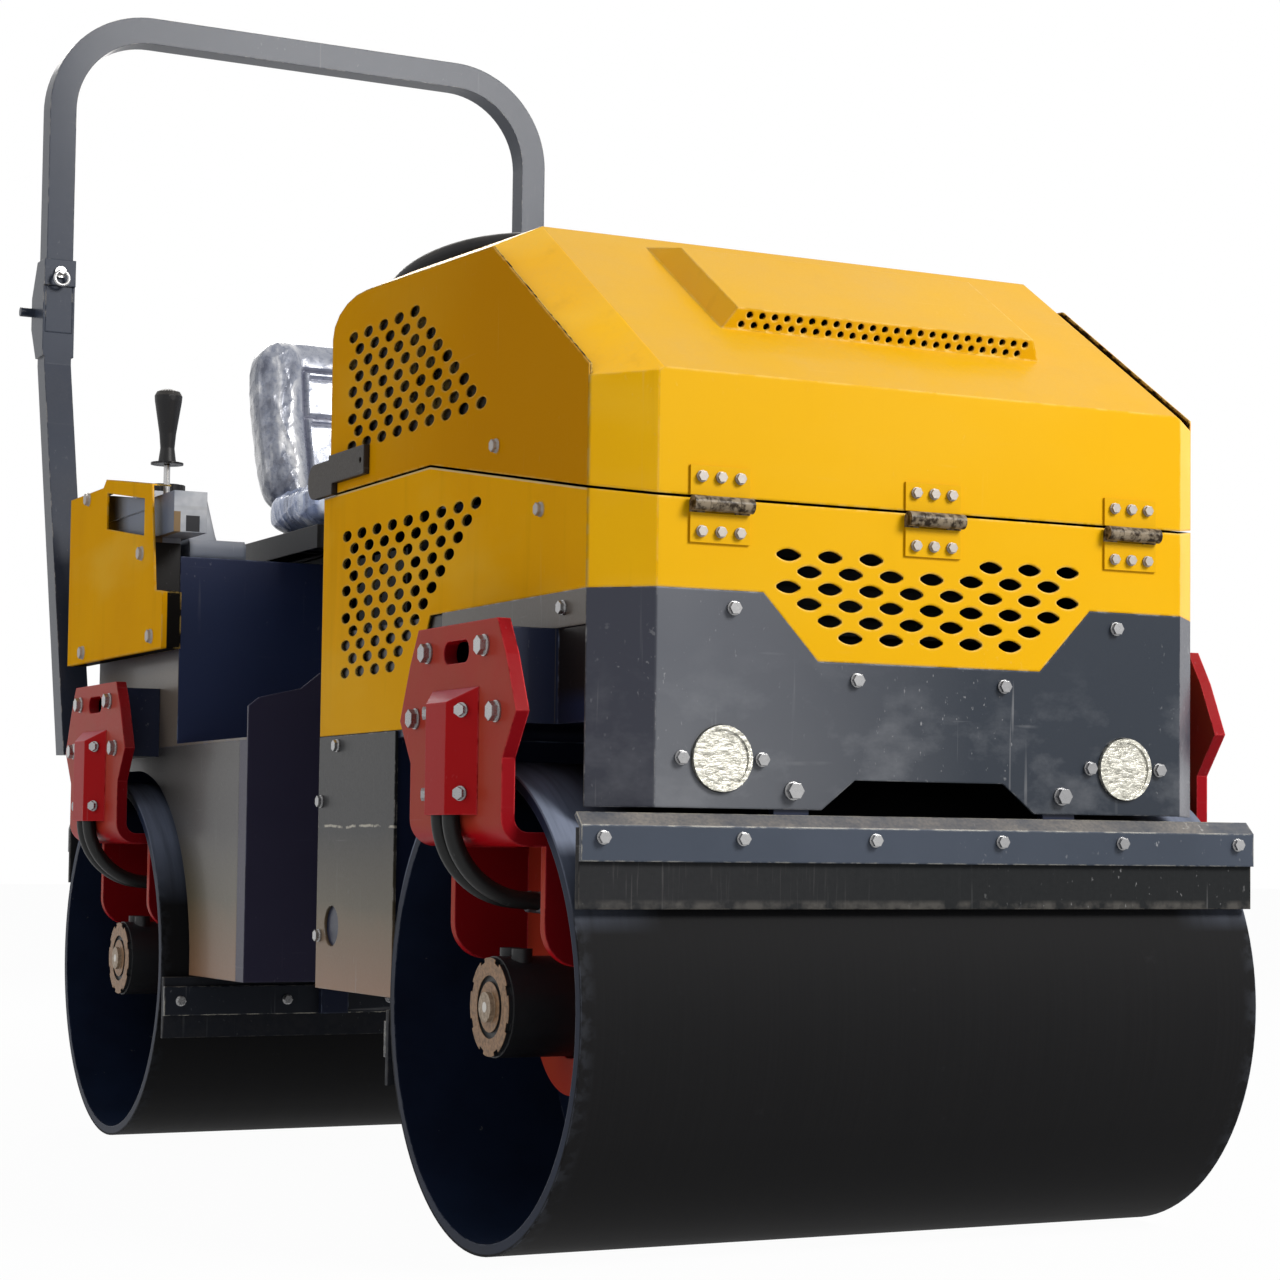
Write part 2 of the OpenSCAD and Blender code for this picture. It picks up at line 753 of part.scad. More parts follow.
module eccentric() {
    reach = web_in + spindle_d / 4 - over;
    at_axle() {
        rod_x(eccentric_d, -reach, reach, 0, axle_z);
        difference() {
            rod_x(weight_d, -weight_l / 2, weight_l / 2, 0, axle_z);
            span([-weight_l, -weight_d, axle_z], [weight_l, weight_d, axle_z + weight_d]);
        }
    }
}

outer_blade_in = outer_bar_reach - bar_t - blade_t;
lip_y = nose_y - axle_y > outer_blade_in ? over - outer_blade_in : -(nose_y - axle_y) - over;
cross_low_z = 290;

// Front frame
module front_frame() color(frame_blue) placed() {
    rear_in = -lower_rear_y - over;
    cross_y = skirt_y[1] - sheet;
    corner_y = nose_chamfer + over - nose_y;
    beam_h = 54;
    housing_d = trunnion_d + 5 * rail_t;
    frame_arms(rail_x);
    scraper_brackets(nose_y - sheet - axle_y);
    inner_brackets(-cross_y + over);
    both() plate_x(rail_x, rail_t) polygon([[corner_y, bay_z], [corner_y, lower_z - over],
        [rear_in, lower_z - over], [rear_in, cross_low_z], [-cross_y, cross_low_z],
        [-cross_y, bay_z]]);
    span([-rail_x, corner_y, bay_z], [rail_x, rear_in - sheet, bay_z + tray_t]);
    intersection() {
        plan_prism(sheet);
        difference() {
            span([-rail_x, sheet - nose_y, bay_z], [rail_x, corner_y + over, bay_z + beam_h]);
            span([-body_half, sheet + arm_t - nose_y, bay_z + tray_t],
                [body_half, corner_y + 2 * over, bay_z + beam_h - arm_t]);
        }
    }
    span([-rail_x, rear_in - sheet, bay_z - over], [rail_x, rear_in, part_rear_z - sheet]);
    span([-rail_x, -cross_y, cross_low_z], [rail_x, rail_t - cross_y, bay_z]);
    span([-rail_x, -cross_y, cross_low_z], [rail_x, rear_in - sheet, cross_low_z + tray_t]);
    difference() {
        union() {
            span([-rail_x, rear_in - sheet - rail_t, cross_low_z], [rail_x, rear_in - sheet, bay_z]);
            rod_y(housing_d, -yoke_half - 1.6 * trunnion_d, -yoke_half - face_gap, 0, yoke_mid);
        }
        rod_y(trunnion_d + 2 * run_clear, -nose_y / 2, 0, 0, yoke_mid);
    }
}

module front_hangers() color(hanger_red) placed() hangers();
module front_hose_covers() color(hanger_red) placed() hose_covers();
module front_drum_hoses() color(rubber_black) placed() drum_hoses();
module front_drum_motors() color(drum_black) placed() drum_motors();
module front_rubber_mounts() color(rubber_black) placed() rubber_mounts();
module front_scraper_bars() color(steel) placed() scraper_bars();
module front_scraper_blades() color(rubber_black) placed() scraper_blades();
module front_drum() color(drum_black) placed() drum();
module front_eccentric() color(steel) placed() eccentric();

module front_bolts() color(steel) placed() {
    gear_bolts();
    both() {
        bolt_y(-nose_y, lip_half[1] * 1.17, lower_z - small_bolt_af * 1.5);
        bolt_y(-nose_y, lip_half[1] * 0.45, lip_z - small_bolt_af * 1.5);
        bolt_y(-nose_y, lip_half[1] * 0.82, apron_z + small_bolt_af * 1.6,
            small_bolt_af * 1.3, bolt_head);
        for (s = [-1, 1]) bolt_y(-nose_y, lamp_at[0] + s * lamp_d * 0.67, lamp_at[1]);
        bolt_x(body_half, part_kink_y - hood_rear_y - axle_y - 0.66 * axle_y + over,
            lower_z - small_bolt_af * 1.4, small_bolt_af, small_head);
        bolt_x(body_half, -skirt_y[0] - skirt_hole_d * 1.34, skirt_z[1] - small_bolt_af,
            small_bolt_af, small_head);
        for (z = [skirt_z[0] + skirt_hole_d * 1.3, skirt_z[1] - skirt_hole_d * 1.6])
            bolt_x(body_half, -skirt_y[0] - small_bolt_af, z, small_bolt_af, small_head);
    }
}

// Bodywork of the front module
// Roof line of the hood, falling to the rear along an ellipse
function tail(a) = let(y = hood_tail[0] * (sin(a) - 1) - hood_rear_y)
    [y, ridge_z + tan(top_slope) * (y + ridge_y) - hood_tail[1] * (1 - cos(a))];
tail_step = 18;

module tail_prism(a, t) {
    run = tail(a + tail_step) - tail(a);
    tilt = atan(run[1] / run[0]);
    bevel_prism(tilt, bevel_drop * cos(tilt), t, tail(a),
        top_half - sheet * (0.4 + a / tail_step / 3));
}

module bevel_prism(tilt, drop, t, at = [-ridge_y, ridge_z], half = top_half) {
    big = 2 * nose_y;
    fold = half - 0.22 * t;
    out = body_half - t;
    fall = drop * (out - fold) / (body_half - half);
    translate([0, at[0], at[1]]) rotate([tilt, 0, 0]) translate([0, big, 0])
        rotate([90, 0, 0]) linear_extrude(2 * big)
            polygon([[-fold, -t], [fold, -t], [out, -t - fall], [out, -big], [-out, -big],
                [-out, -t - fall]]);
}

module plan_prism(t) {
    fold = body_half - nose_chamfer - 0.4142 * t;
    linear_extrude(2 * hood_top_z) polygon([[-fold, t - nose_y], [fold, t - nose_y],
        [body_half - t, nose_chamfer + 0.4142 * t - nose_y], [body_half - t, -t - rear_y(t)],
        [t - body_half, -t - rear_y(t)],
        [t - body_half, nose_chamfer + 0.4142 * t - nose_y]]);
}

function rear_y(t) = t > 0 ? hood_rear_y : 0;

// Closed form of the hood, one sheet smaller for t above 0
module bonnet(t) {
    intersection() {
        plan_prism(t);
        bevel_prism(slope, bevel_drop / cos(slope), t);
        bevel_prism(top_slope, bevel_drop, t);
        intersection_for(a = [0:tail_step:90 - tail_step]) tail_prism(a, t);
    }
}

// Everything above the joint between the hoods
module above_part(gap) {
    plate_x(-hanger_face, 2 * hanger_face) polygon([[-2 * nose_y, part_front_z + gap],
        [-nose_y, part_front_z + gap], [nose_chamfer - nose_y, part_corner_z + gap],
        [-part_kink_y, part_rear_z + gap], [nose_y, part_rear_z + gap],
        [nose_y, 2 * hood_top_z], [-2 * nose_y, 2 * hood_top_z]]);
}

module side_slabs(x0) {
    both() span([x0, nose_chamfer - nose_y, 0], [body_half + over, 0, 2 * hood_top_z]);
}

// Raised pad on the slope with leaning faces, t smaller all round
function scoop_lean(run, h, t) = t * norm([run, scoop_rise]) / scoop_rise
    + run * h / scoop_rise;

module on_slope() {
    translate([0, -nose_y, brow_z]) rotate([slope, 0, 0]) translate([0, scoop_start, 0])
        children();
}

module scoop(t) {
    foot = t > 0 ? -2 * t : -sheet / 2;
    top = scoop_rise - t;
    on_slope() intersection() {
        plate_x(-body_half, 2 * body_half) polygon([[scoop_lean(scoop_run[0], foot, t), foot],
            [scoop_lean(scoop_run[0], top, t), top],
            [scoop_l - scoop_lean(scoop_run[1], top, t), top],
            [scoop_l - scoop_lean(scoop_run[1], foot, t), foot]]);
        plate_y(-scoop_l, 3 * scoop_l) polygon([
            [-scoop_half + scoop_lean(scoop_run[2], foot, t), foot],
            [-scoop_half + scoop_lean(scoop_run[2], top, t), top],
            [scoop_half - scoop_lean(scoop_run[2], top, t), top],
            [scoop_half - scoop_lean(scoop_run[2], foot, t), foot]]);
    }
}

module scoop_vents() {
    face = norm([scoop_run[0], scoop_rise]);
    on_slope() rotate([atan(scoop_rise / scoop_run[0]), 0, 0])
        for (r = [0, 1], i = [0:scoop_holes - 1])
            translate([(i - (scoop_holes - 1) / 2 + r / 2 - 0.25) * scoop_pitch,
                face * (0.26 + 0.45 * r), -2 * sheet])
                cylinder(d = scoop_hole_d, h = 4 * sheet, $fn = 14);
}

module upper_hood() color(hood_yellow) placed() difference() {
    union() {
        bonnet(0);
        scoop(0);
    }
    bonnet(sheet);
    scoop(sheet);
    difference() {
        span([-nose_y, -2 * nose_y, 0], [nose_y, nose_y, 2 * hood_top_z]);
        above_part(part_gap / 2);
    }
    side_slabs(inner_half);
    span([-nose_y, -hood_rear_y, 0], [nose_y, nose_y, 2 * hood_top_z]);
    scoop_vents();
}

function part_z(y) = y < part_kink_y ? part_rear_z : part_rear_z
    + (part_corner_z - part_rear_z) * (y - part_kink_y) / (nose_y - nose_chamfer - part_kink_y);

module side_outline() {
    front = nose_y - nose_chamfer;
    gap = part_gap / 2;
    polygon(concat([[-front, part_corner_z + gap], [-part_kink_y, part_rear_z + gap],
        [-hood_rear_y, part_rear_z + gap]],
        [for (a = [90:-tail_step:0]) tail(a) - [0, bevel_drop]],
        [[-ridge_y, side_z], [-front, side_z - tan(slope) * (front - ridge_y)]]));
}

module vent() {
    scale([vent_l / vent_d, 1]) circle(d = vent_d, $fn = 16);
}

module upper_hood_sides() color(hood_yellow) placed() {
    both() {
        plate_x(inner_half, sheet) difference() {
            side_outline();
            for (r = [0:vent_up_rows - 1], i = [0:4 + floor(r / 2)])
                translate([-vent_rear_y - (i + (r % 2 == 0 ? 0.2 : 0.63)) * vent_pitch,
                    vent_up_z - r * vent_row]) vent();
        }
        bolt_x(body_half, -ridge_y - small_bolt_af * 1.7, part_rear_z, small_bolt_af, small_head);
    }
}

module lower_hood_front() color(hood_yellow) placed() {
    counts = [8, 7, 8, 7, 6, 5];
    difference() {
        bonnet(0);
        bonnet(sheet);
        above_part(-part_gap / 2);
        span([-nose_y, nose_chamfer - nose_y, 0], [nose_y, nose_y, 2 * hood_top_z]);
        plate_y(-2 * nose_y, 2 * nose_y) lip_outline(hanger_face, 0);
        for (r = [0:len(counts) - 1], i = [0:counts[r] - 1])
            if (r > 0 || abs(2 * i - counts[r] + 1) > 1)
            translate([(i - (counts[r] - 1) / 2) * oval_pitch, -nose_y - over,
                oval_top_z - r * oval_row]) rotate([-90, 0, 0])
                linear_extrude(sheet + 2 * over) oval(oval_l, oval_h);
    }
}

// Region below the yellow front panel, whose lip dips in the middle
module lip_outline(half, low) {
    polygon([[-half, low], [half, low], [half, lower_z], [lip_half[1], lower_z],
        [lip_half[0], lip_z], [-lip_half[0], lip_z], [-lip_half[1], lower_z], [-half, lower_z]]);
}

module lower_hood_sides() color(hood_yellow) placed() {
    front = nose_y - nose_chamfer;
    gap = part_gap / 2;
    low_end = vent_low_z - vent_row * (vent_low_rows - 1);
    both() {
        plate_x(inner_half, sheet) difference() {
            polygon([[-front, lower_z], [-side_step_y[0], lower_z], [-side_step_y[1], side_low_z],
                [-lower_rear_y, side_low_z], [-lower_rear_y, part_rear_z - gap],
                [-part_kink_y, part_rear_z - gap], [-front, part_corner_z - gap]]);
            for (r = [0:vent_low_rows - 1], i = [0:vent_low_count - 1])
                let(y = vent_rear_y + (i + (r % 2) / 2) * vent_pitch, z = vent_low_z - r * vent_row)
                    if (y < vent_rear_y + vent_pitch * (vent_low_count - 0.9)
                        - (vent_low_z - z) * (vent_low_count * 0.46 * vent_pitch) / (vent_low_z - low_end))
                        translate([-y, z]) vent();
        }
        bolt_x(body_half, -nose_y + nose_chamfer * 3.15, part_corner_z - small_bolt_af,
            small_bolt_af, small_head);
    }
}

module front_apron() color(panel_grey) placed() {
    difference() {
        bonnet(0);
        bonnet(sheet);
        span([-nose_y, nose_chamfer - nose_y, 0], [nose_y, nose_y, 2 * hood_top_z]);
        span([-nose_y, -2 * nose_y, 0], [nose_y, 0, apron_z]);
        plate_y(-2 * nose_y, 2 * nose_y) difference() {
            translate([-nose_y, 0]) square([2 * nose_y, 2 * hood_top_z]);
            lip_outline(hanger_face, 0);
        }
        plate_y(-2 * nose_y, 2 * nose_y)
            polygon([[-apron_cut_half[0], apron_z - over], [apron_cut_half[0], apron_z - over],
                [apron_cut_half[1], apron_z + apron_cut_h],
                [-apron_cut_half[1], apron_z + apron_cut_h]]);
        both() rod_y(lamp_d, -2 * nose_y, 0, lamp_at[0], lamp_at[1]);
    }
    both() span([inner_half, nose_chamfer - nose_y, return_z], [body_half, -return_y, lower_z]);
}

module front_skirts() color(panel_grey) placed() both() plate_x(inner_half, sheet) difference() {
    translate([-skirt_y[1], skirt_z[0]])
        square([skirt_y[1] - skirt_y[0], skirt_z[1] - skirt_z[0]]);
    translate([-skirt_hole_at[0], skirt_hole_at[1]]) circle(d = skirt_hole_d);
}

module headlamps() color([0.8, 0.82, 0.85]) placed() both()
    translate([lamp_at[0], -nose_y, lamp_at[1]]) rotate([-90, 0, 0]) {
        difference() {
            translate([0, 0, -small_head]) cylinder(d = lamp_d - over, h = lamp_depth);
            translate([0, 0, -small_head - over]) cylinder(d = lamp_d * 0.86, h = bolt_head);
        }
        translate([0, 0, -small_head / 2]) cylinder(d = lamp_d * 0.86, h = bolt_head);
    }

module hinge_leaf(z0, z1, x) {
    translate([x, 0, 0]) {
        span([-leaf_w / 2, -nose_y - leaf_t, z0], [leaf_w / 2, -nose_y, z1]);
        for (b = [-1, 0, 1]) bolt_y(-nose_y - leaf_t, b * leaf_w * 0.32, (z0 + z1) / 2
            + (z0 > hinge_axis_z ? hinge_r / 2 : -hinge_r / 2), small_bolt_af * 0.8, small_head * 0.7);
    }
}

module hinge_lower_leaves() color(hood_yellow) placed() for (x = hinge_x) {
    hinge_leaf(hinge_axis_z - hinge_r - leaf_h, hinge_axis_z - hinge_r - over, x);
    for (s = [-1, 1]) translate([x + s * (leaf_w - knuckle_w) / 2 - knuckle_w / 2, -hinge_y,
        hinge_axis_z]) {
        rotate([0, 90, 0]) cylinder(r = hinge_r, h = knuckle_w);
        span([0, hinge_r - leaf_t, -hinge_r - over], [knuckle_w, hinge_r, 0]);
    }
    rod_x(hinge_pin_d, x - leaf_w / 2, x + leaf_w / 2, -hinge_y, hinge_axis_z);
}

module hinge_upper_leaves() color(hood_yellow) placed() for (x = hinge_x) {
    half = leaf_w / 2 - knuckle_w - over / 2;
    hinge_leaf(hinge_axis_z + hinge_r + over, hinge_axis_z + hinge_r + leaf_h, x);
    difference() {
        union() {
            rod_x(2 * hinge_r, x - half, x + half, -hinge_y, hinge_axis_z);
            span([x - half, -nose_y - leaf_t, hinge_axis_z], [x + half, -nose_y - over / 2,
                hinge_axis_z + hinge_r + leaf_t]);
        }
        rod_x(hinge_pin_d + 2 * run_clear, x - half - over, x + half + over, -hinge_y, hinge_axis_z);
    }
}

// Rubber pull latch at the hood's rear lower corner
latch_y = 265;
latch_z = 966;
latch_l = 236;
latch_h = 38;

module latch() {
    reach = latch_l - latch_h / 2;
    translate([body_half + face_gap, 0, 0]) {
        difference() {
            plate_x(0, bolt_head) {
                translate([-latch_y - latch_h / 3, latch_z - latch_h / 2])
                    square([reach * 0.62, latch_h]);
                translate([-latch_y + reach * 0.5, latch_z - latch_h * 0.9])
                    square([reach * 0.33, latch_h * 1.25]);
                translate([-latch_y + reach * 0.83, latch_z - latch_h * 0.28])
                    circle(latch_h * 0.62);
            }
            rod_x(bolt_head + 2 * run_clear, -over, bolt_head + over, -latch_y, latch_z);
        }
    }
}

module latch_left() color(rubber_black) placed() mirror([1, 0, 0]) latch();
module latch_right() color(rubber_black) placed() latch();

// Machinery under the hood
engine_half = 150;
engine_y = [700, 360];
engine_z = [660, 960];
radiator_size = [480, 60, 250];

module engine() color([0.35, 0.36, 0.38]) placed() {
    mid = -(engine_y[0] + engine_y[1]) / 2;
    deep = engine_z[1] - engine_z[0];
    difference() {
        span([-engine_half, -engine_y[0], engine_z[0]], [engine_half, -engine_y[1],
            engine_z[1] - deep / 4]);
        for (s = [-1, 1]) span([s * engine_half - small_head * 4, -engine_y[0] + bolt_af * 2,
            engine_z[0] + deep / 4], [s * engine_half + small_head * 4,
            -engine_y[1] - bolt_af * 2, engine_z[0] + deep / 2]);
    }
    span([-engine_half * 0.6, -engine_y[0] + bolt_af, engine_z[1] - deep / 4],
        [engine_half * 0.6, -engine_y[1] - bolt_af, engine_z[1]]);
    rod_y(deep * 0.86, -engine_y[1], -engine_y[1] + bolt_af * 1.5, 0, engine_z[0] + deep / 2);
    both() for (y = [-engine_y[0] + bolt_af * 2, -engine_y[1] - bolt_af * 4])
        span([engine_half - over, y, bay_z + tray_t], [engine_half + bolt_af * 1.5,
            y + bolt_af * 2, engine_z[0] + bolt_af]);
    rod_y(deep * 0.3, -engine_y[0] - bolt_af, -engine_y[0], 0, engine_z[0] + deep / 2);
    for (a = [0:60:300]) translate([0, -engine_y[0] - bolt_af, engine_z[0] + deep / 2])
        rotate([0, a, 0]) rotate([0, 0, 25]) span([-bolt_af, -over, bolt_af],
            [bolt_af, over, deep * 0.46]);
}

module radiator() color(rubber_black) placed() {
    y = -engine_y[0] - bolt_af * 4;
    fins = 9;
    step = (radiator_size[2] - 2 * bolt_af) / fins;
    difference() {
        span([-radiator_size[0] / 2, y - radiator_size[1], bay_z + tray_t],
            [radiator_size[0] / 2, y, bay_z + tray_t + radiator_size[2]]);
        for (i = [0:fins - 1]) span([bolt_af - radiator_size[0] / 2, y - radiator_size[1] - over,
            bay_z + tray_t + bolt_af + (i + 0.25) * step],
            [radiator_size[0] / 2 - bolt_af, y - radiator_size[1] + bolt_af,
            bay_z + tray_t + bolt_af + (i + 0.75) * step]);
    }
}

tank_x = [-372, -190];
tank_rear_y = 140;
tank_l = 190;
tank_h = 240;

module fuel_tank() color(rubber_black) placed() {
    span([tank_x[0], -tank_rear_y - tank_l, bay_z + tray_t],
        [tank_x[1], -tank_rear_y, bay_z + tray_t + tank_h]);
    translate([(tank_x[0] + tank_x[1]) / 2, -tank_rear_y - tank_l / 2, bay_z + tray_t + tank_h])
        cylinder(d = lamp_d, h = bolt_af);
}

battery_size = [175, 190, 175];

module battery() color(rubber_black) placed() translate([-tank_x[1], -tank_rear_y
    - battery_size[1], bay_z + tray_t]) {
    cube(battery_size);
    for (s = [0.2, 0.8]) translate([battery_size[0] * s, battery_size[1] * 0.15, battery_size[2]])
        cylinder(d = fold_pin_d, h = fold_pin_d);
}

muffler_d = 120;

module muffler() color(steel) placed() {
    z = engine_z[1] + muffler_d * 0.4;
    rod_y(muffler_d, -engine_y[0], -engine_y[1] - bolt_af, engine_half * 1.6, z);
    rod_y(muffler_d / 3, -engine_y[1] - bolt_af, -engine_y[1] + muffler_d, engine_half * 1.6, z);
    for (y = [-engine_y[0] + bolt_af * 3, -engine_y[1] - bolt_af * 5])
        span([engine_half, y, engine_z[1] - muffler_d], [engine_half * 1.6, y + leaf_t * 2, z]);
}

pump_d = 110;

module hydraulic_pump() color([0.3, 0.3, 0.32]) placed() {
    z = (engine_z[0] + engine_z[1]) / 2;
    y = -engine_y[1] + bolt_af * 1.5;
    rod_y(pump_d * 1.3, y, y + bolt_af, 0, z);
    rod_y(pump_d, y + bolt_af, y + pump_d * 1.6, 0, z);
    for (s = [-1, 1]) rod_y(hose_d * 1.4, y + pump_d * 1.6, y + pump_d * 1.7, s * pump_d / 4, z);
}

// Steering joint
ear_reach = 78;
ear_t = 20;
ear_pin_d = 18;
ram_d = 46;
ram_rod_d = 24;
ram_l = 97;
ram_x = ear_reach - 5;
ram_stroke = 39;
ram_y = 184;
eye_clear = 49;

module center_yoke() color(frame_blue) placed() {
    difference() {
        span([-yoke_half, -yoke_half, yoke_z[0]], [yoke_half, yoke_half, yoke_z[1]]);
        translate([0, 0, yoke_z[0] - over]) cylinder(d = pin_d + 2 * run_clear,
            h = yoke_z[1] - yoke_z[0] + 2 * over);
        translate([0, 0, yoke_mid - ram_rod_d / 2 - over]) linear_extrude(ram_rod_d + 2 * over)
            polygon([[-2 * yoke_half, -yoke_half * 0.6], [-eye_clear, -yoke_half * 0.6],
                [-eye_clear, yoke_half * 0.36], [-eye_clear / 2, yoke_half + over],
                [-2 * yoke_half, yoke_half + over]]);
    }
    rod_y(trunnion_d, -yoke_half - 1.6 * trunnion_d - face_gap, -yoke_half, 0, yoke_mid);
    rod_y(trunnion_d * 1.4, -yoke_half - 1.6 * trunnion_d - face_gap - ear_t,
        -yoke_half - 1.6 * trunnion_d - face_gap, 0, yoke_mid);
    span([-ear_reach, -ear_t / 2, yoke_mid - ear_t * 1.5], [-yoke_half, ear_t / 2,
        yoke_mid - ear_t / 2 - over]);
    translate([-ear_reach, 0, yoke_mid - ear_t * 1.5]) {
        cylinder(d = ear_t * 1.4, h = ear_t - over);
        cylinder(d = ear_pin_d, h = ear_t * 2.4);
    }
}

module steering_cylinder() color(drum_black) placed() {
    front = ram_y - ram_d / 2 - ram_l;
    difference() {
        union() {
            rod_y(ram_d, front, front + ram_l, -ram_x, yoke_mid);
            translate([-ram_x, ram_y, yoke_mid - ear_t / 2])
                cylinder(d = ram_d * 0.8, h = ear_t);
            span([-ram_x - ear_t / 2, front + ram_l - over, yoke_mid - ear_t / 2],
                [ear_t / 2 - ram_x, ram_y, yoke_mid + ear_t / 2]);
        }
        translate([-ram_x, ram_y, 0]) cylinder(d = ear_pin_d, h = 2 * yoke_mid);
        rod_y(ram_rod_d + 2 * run_clear, 0, front + ram_l - arm_t, -ram_x, yoke_mid);
    }
}

module steering_rod() color(steel) placed() {
    eye_d = ear_pin_d + 2 * arm_t;
    rod_y(ram_rod_d, eye_d / 2 + over, ram_y - ram_d / 2 - ram_stroke - arm_t - bar_t,
        -ram_x, yoke_mid);
    difference() {
        translate([-ram_x, 0, yoke_mid - ear_t / 2]) cylinder(d = eye_d + 2 * arm_t, h = ear_t);
        translate([-ram_x, 0, 0]) cylinder(d = eye_d, h = 2 * yoke_mid);
    }
}

// Rear frame
module rear_side() {
    clear_r = axle_z + drum_wall * 1.4;
    difference() {
        translate([bulk_y + bulk_flange, bulk_z[0]])
            square([seatbox_rear_y + box_t - bulk_y - bulk_flange,
                floor_z - box_t - bulk_z[0]]);
        translate([axle_y, axle_z]) circle(clear_r, $fn = 96);
        translate([axle_y, 0]) square([2 * axle_y, axle_z + clear_r]);
    }
}

module rear_frame() color(frame_blue) placed() {
    plate_y0 = bulk_y + bulk_t;
    half = pin_d * 0.9;
    at_rear() {
        frame_arms(body_half);
        scraper_brackets(seatbox_rear_y + rail_t - axle_y);
    }
    mirror([0, 1, 0]) inner_brackets(-skirt_y[1]);
    both() plate_x(body_half - rail_t, rail_t) rear_side();
    span([rail_t - body_half, plate_y0, cross_low_z], [body_half - rail_t, plate_y0 + rail_t,
        floor_z - box_t - tray_t]);
    span([rail_t - body_half, skirt_y[1], cross_low_z], [body_half - rail_t,
        skirt_y[1] + rail_t, floor_z - box_t - tray_t]);
    span([rail_t - body_half, plate_y0, floor_z - box_t - tray_t], [body_half - rail_t,
        seatbox_rear_y, floor_z - box_t]);
    span([rail_t - body_half, seatbox_rear_y, outer_bar_z[1] + rail_t],
        [body_half - rail_t, seatbox_rear_y + rail_t, floor_z - box_t]);
    for (z = [yoke_z[0] - face_gap - lug_t, yoke_z[1] + face_gap]) {
        span([-half, 0, z], [half, plate_y0 + over, z + lug_t]);
        translate([0, 0, z]) cylinder(r = half, h = lug_t);
    }
    translate([0, 0, yoke_z[0] - lug_t]) cylinder(d = pin_d, h = yoke_z[1] - yoke_z[0]
        + 2 * lug_t);
    for (z = [yoke_mid - ear_t * 1.5, yoke_mid + ear_t / 2 + over])
        span([-ram_x - ear_t, ram_y - ear_pin_d, z], [ear_t - ram_x, plate_y0 + over,
            z + ear_t - over]);
    translate([-ram_x, ram_y, yoke_mid - ear_t]) cylinder(d = ear_pin_d, h = 2 * ear_t);
    both() span([body_half, post_y(floor_z) + bar * 0.2, post_foot_z],
        [hoop_half - post_bar + face_gap, post_y(floor_z) + bar, post_foot_z + 2 * bar]);
}

module rear_bulkhead() color(frame_blue) placed() {
    lug_half = pin_d * 0.9 + over;
    plate_y(bulk_y, bulk_t) difference() {
        polygon(concat([[-body_half, bulk_z[0]], [body_half, bulk_z[0]], [body_half, bulk_z[1]]],
            [for (i = [0:2]) [bulk_step_x[i], bulk_step_z[i]]],
            [[tower_half, bulk_step_z[2] + bar], [-tower_half, bulk_step_z[2] + bar]],
            [for (i = [2:-1:0]) [-bulk_step_x[i], bulk_step_z[i]]], [[-body_half, bulk_z[1]]]));
        translate([-lug_half - ear_reach, yoke_z[0] - lug_t - over])
            square([2 * lug_half + ear_reach, yoke_z[1] - yoke_z[0] + 2 * lug_t + 2 * over]);
    }
    both() span([body_half - bulk_t, bulk_y, bulk_z[0]], [body_half, bulk_y + bulk_flange,
        floor_z - box_t]);
}

// Floor and seat box, folded from one sheet
module seat_box() color(panel_grey) placed() difference() {
    union() {
        span([-body_half, bulk_y + bulk_t, floor_z - box_t], [body_half, seatbox_y + over, floor_z]);
        span([-body_half, seatbox_y, floor_z - box_t], [body_half, seatbox_rear_y, seatbox_z]);
    }
    span([box_t - body_half, seatbox_y + box_t, 0], [body_half - box_t,
        seatbox_rear_y - box_t, seatbox_z - box_t]);
}

module rear_hangers() color(hanger_red) placed() at_rear() hangers();
module rear_hose_covers() color(hanger_red) placed() at_rear() hose_covers();
module rear_drum_hoses() color(rubber_black) placed() at_rear() drum_hoses();
module rear_drum_motors() color(drum_black) placed() at_rear() drum_motors();
module rear_rubber_mounts() color(rubber_black) placed() at_rear() rubber_mounts();
module rear_scraper_bars() color(steel) placed() at_rear() scraper_bars();
module rear_scraper_blades() color(rubber_black) placed() at_rear() scraper_blades();
module rear_bolts() color(steel) placed() at_rear() gear_bolts();
module rear_drum() color(drum_black) placed() at_rear() drum();
module rear_eccentric() color(steel) placed() at_rear() eccentric();

// Roll bar
function post_y(z) = hoop_y - max(post_bend_z - z, 0) * tan(post_lean);

module post_outline(t) {
    wide = bar / cos(post_lean);
    top = fold_z + (t > 0 ? over : 0);
    foot = post_foot_z + t;
    polygon([[post_y(foot) + t, foot], [hoop_y + t, post_bend_z], [hoop_y + t, top],
        [hoop_y + bar - t, top], [hoop_y + bar - t, post_bend_z - t],
        [post_y(foot) + wide - t, foot]]);
}

module cheek_plate() {
    polygon([[hoop_y, hinge_z[0]], [hoop_y + bar, hinge_z[0]],
        [hoop_rear, pivot_z - hinge_bulge * 0.8], [hoop_rear, pivot_z + hinge_bulge * 0.8],
        [hoop_y + bar, hinge_z[1]], [hoop_y - hinge_t - face_gap, hinge_z[1]],
        [hoop_y - hinge_t - face_gap, hinge_z[1] - bar], [hoop_y, hinge_z[1] - bar]]);
}

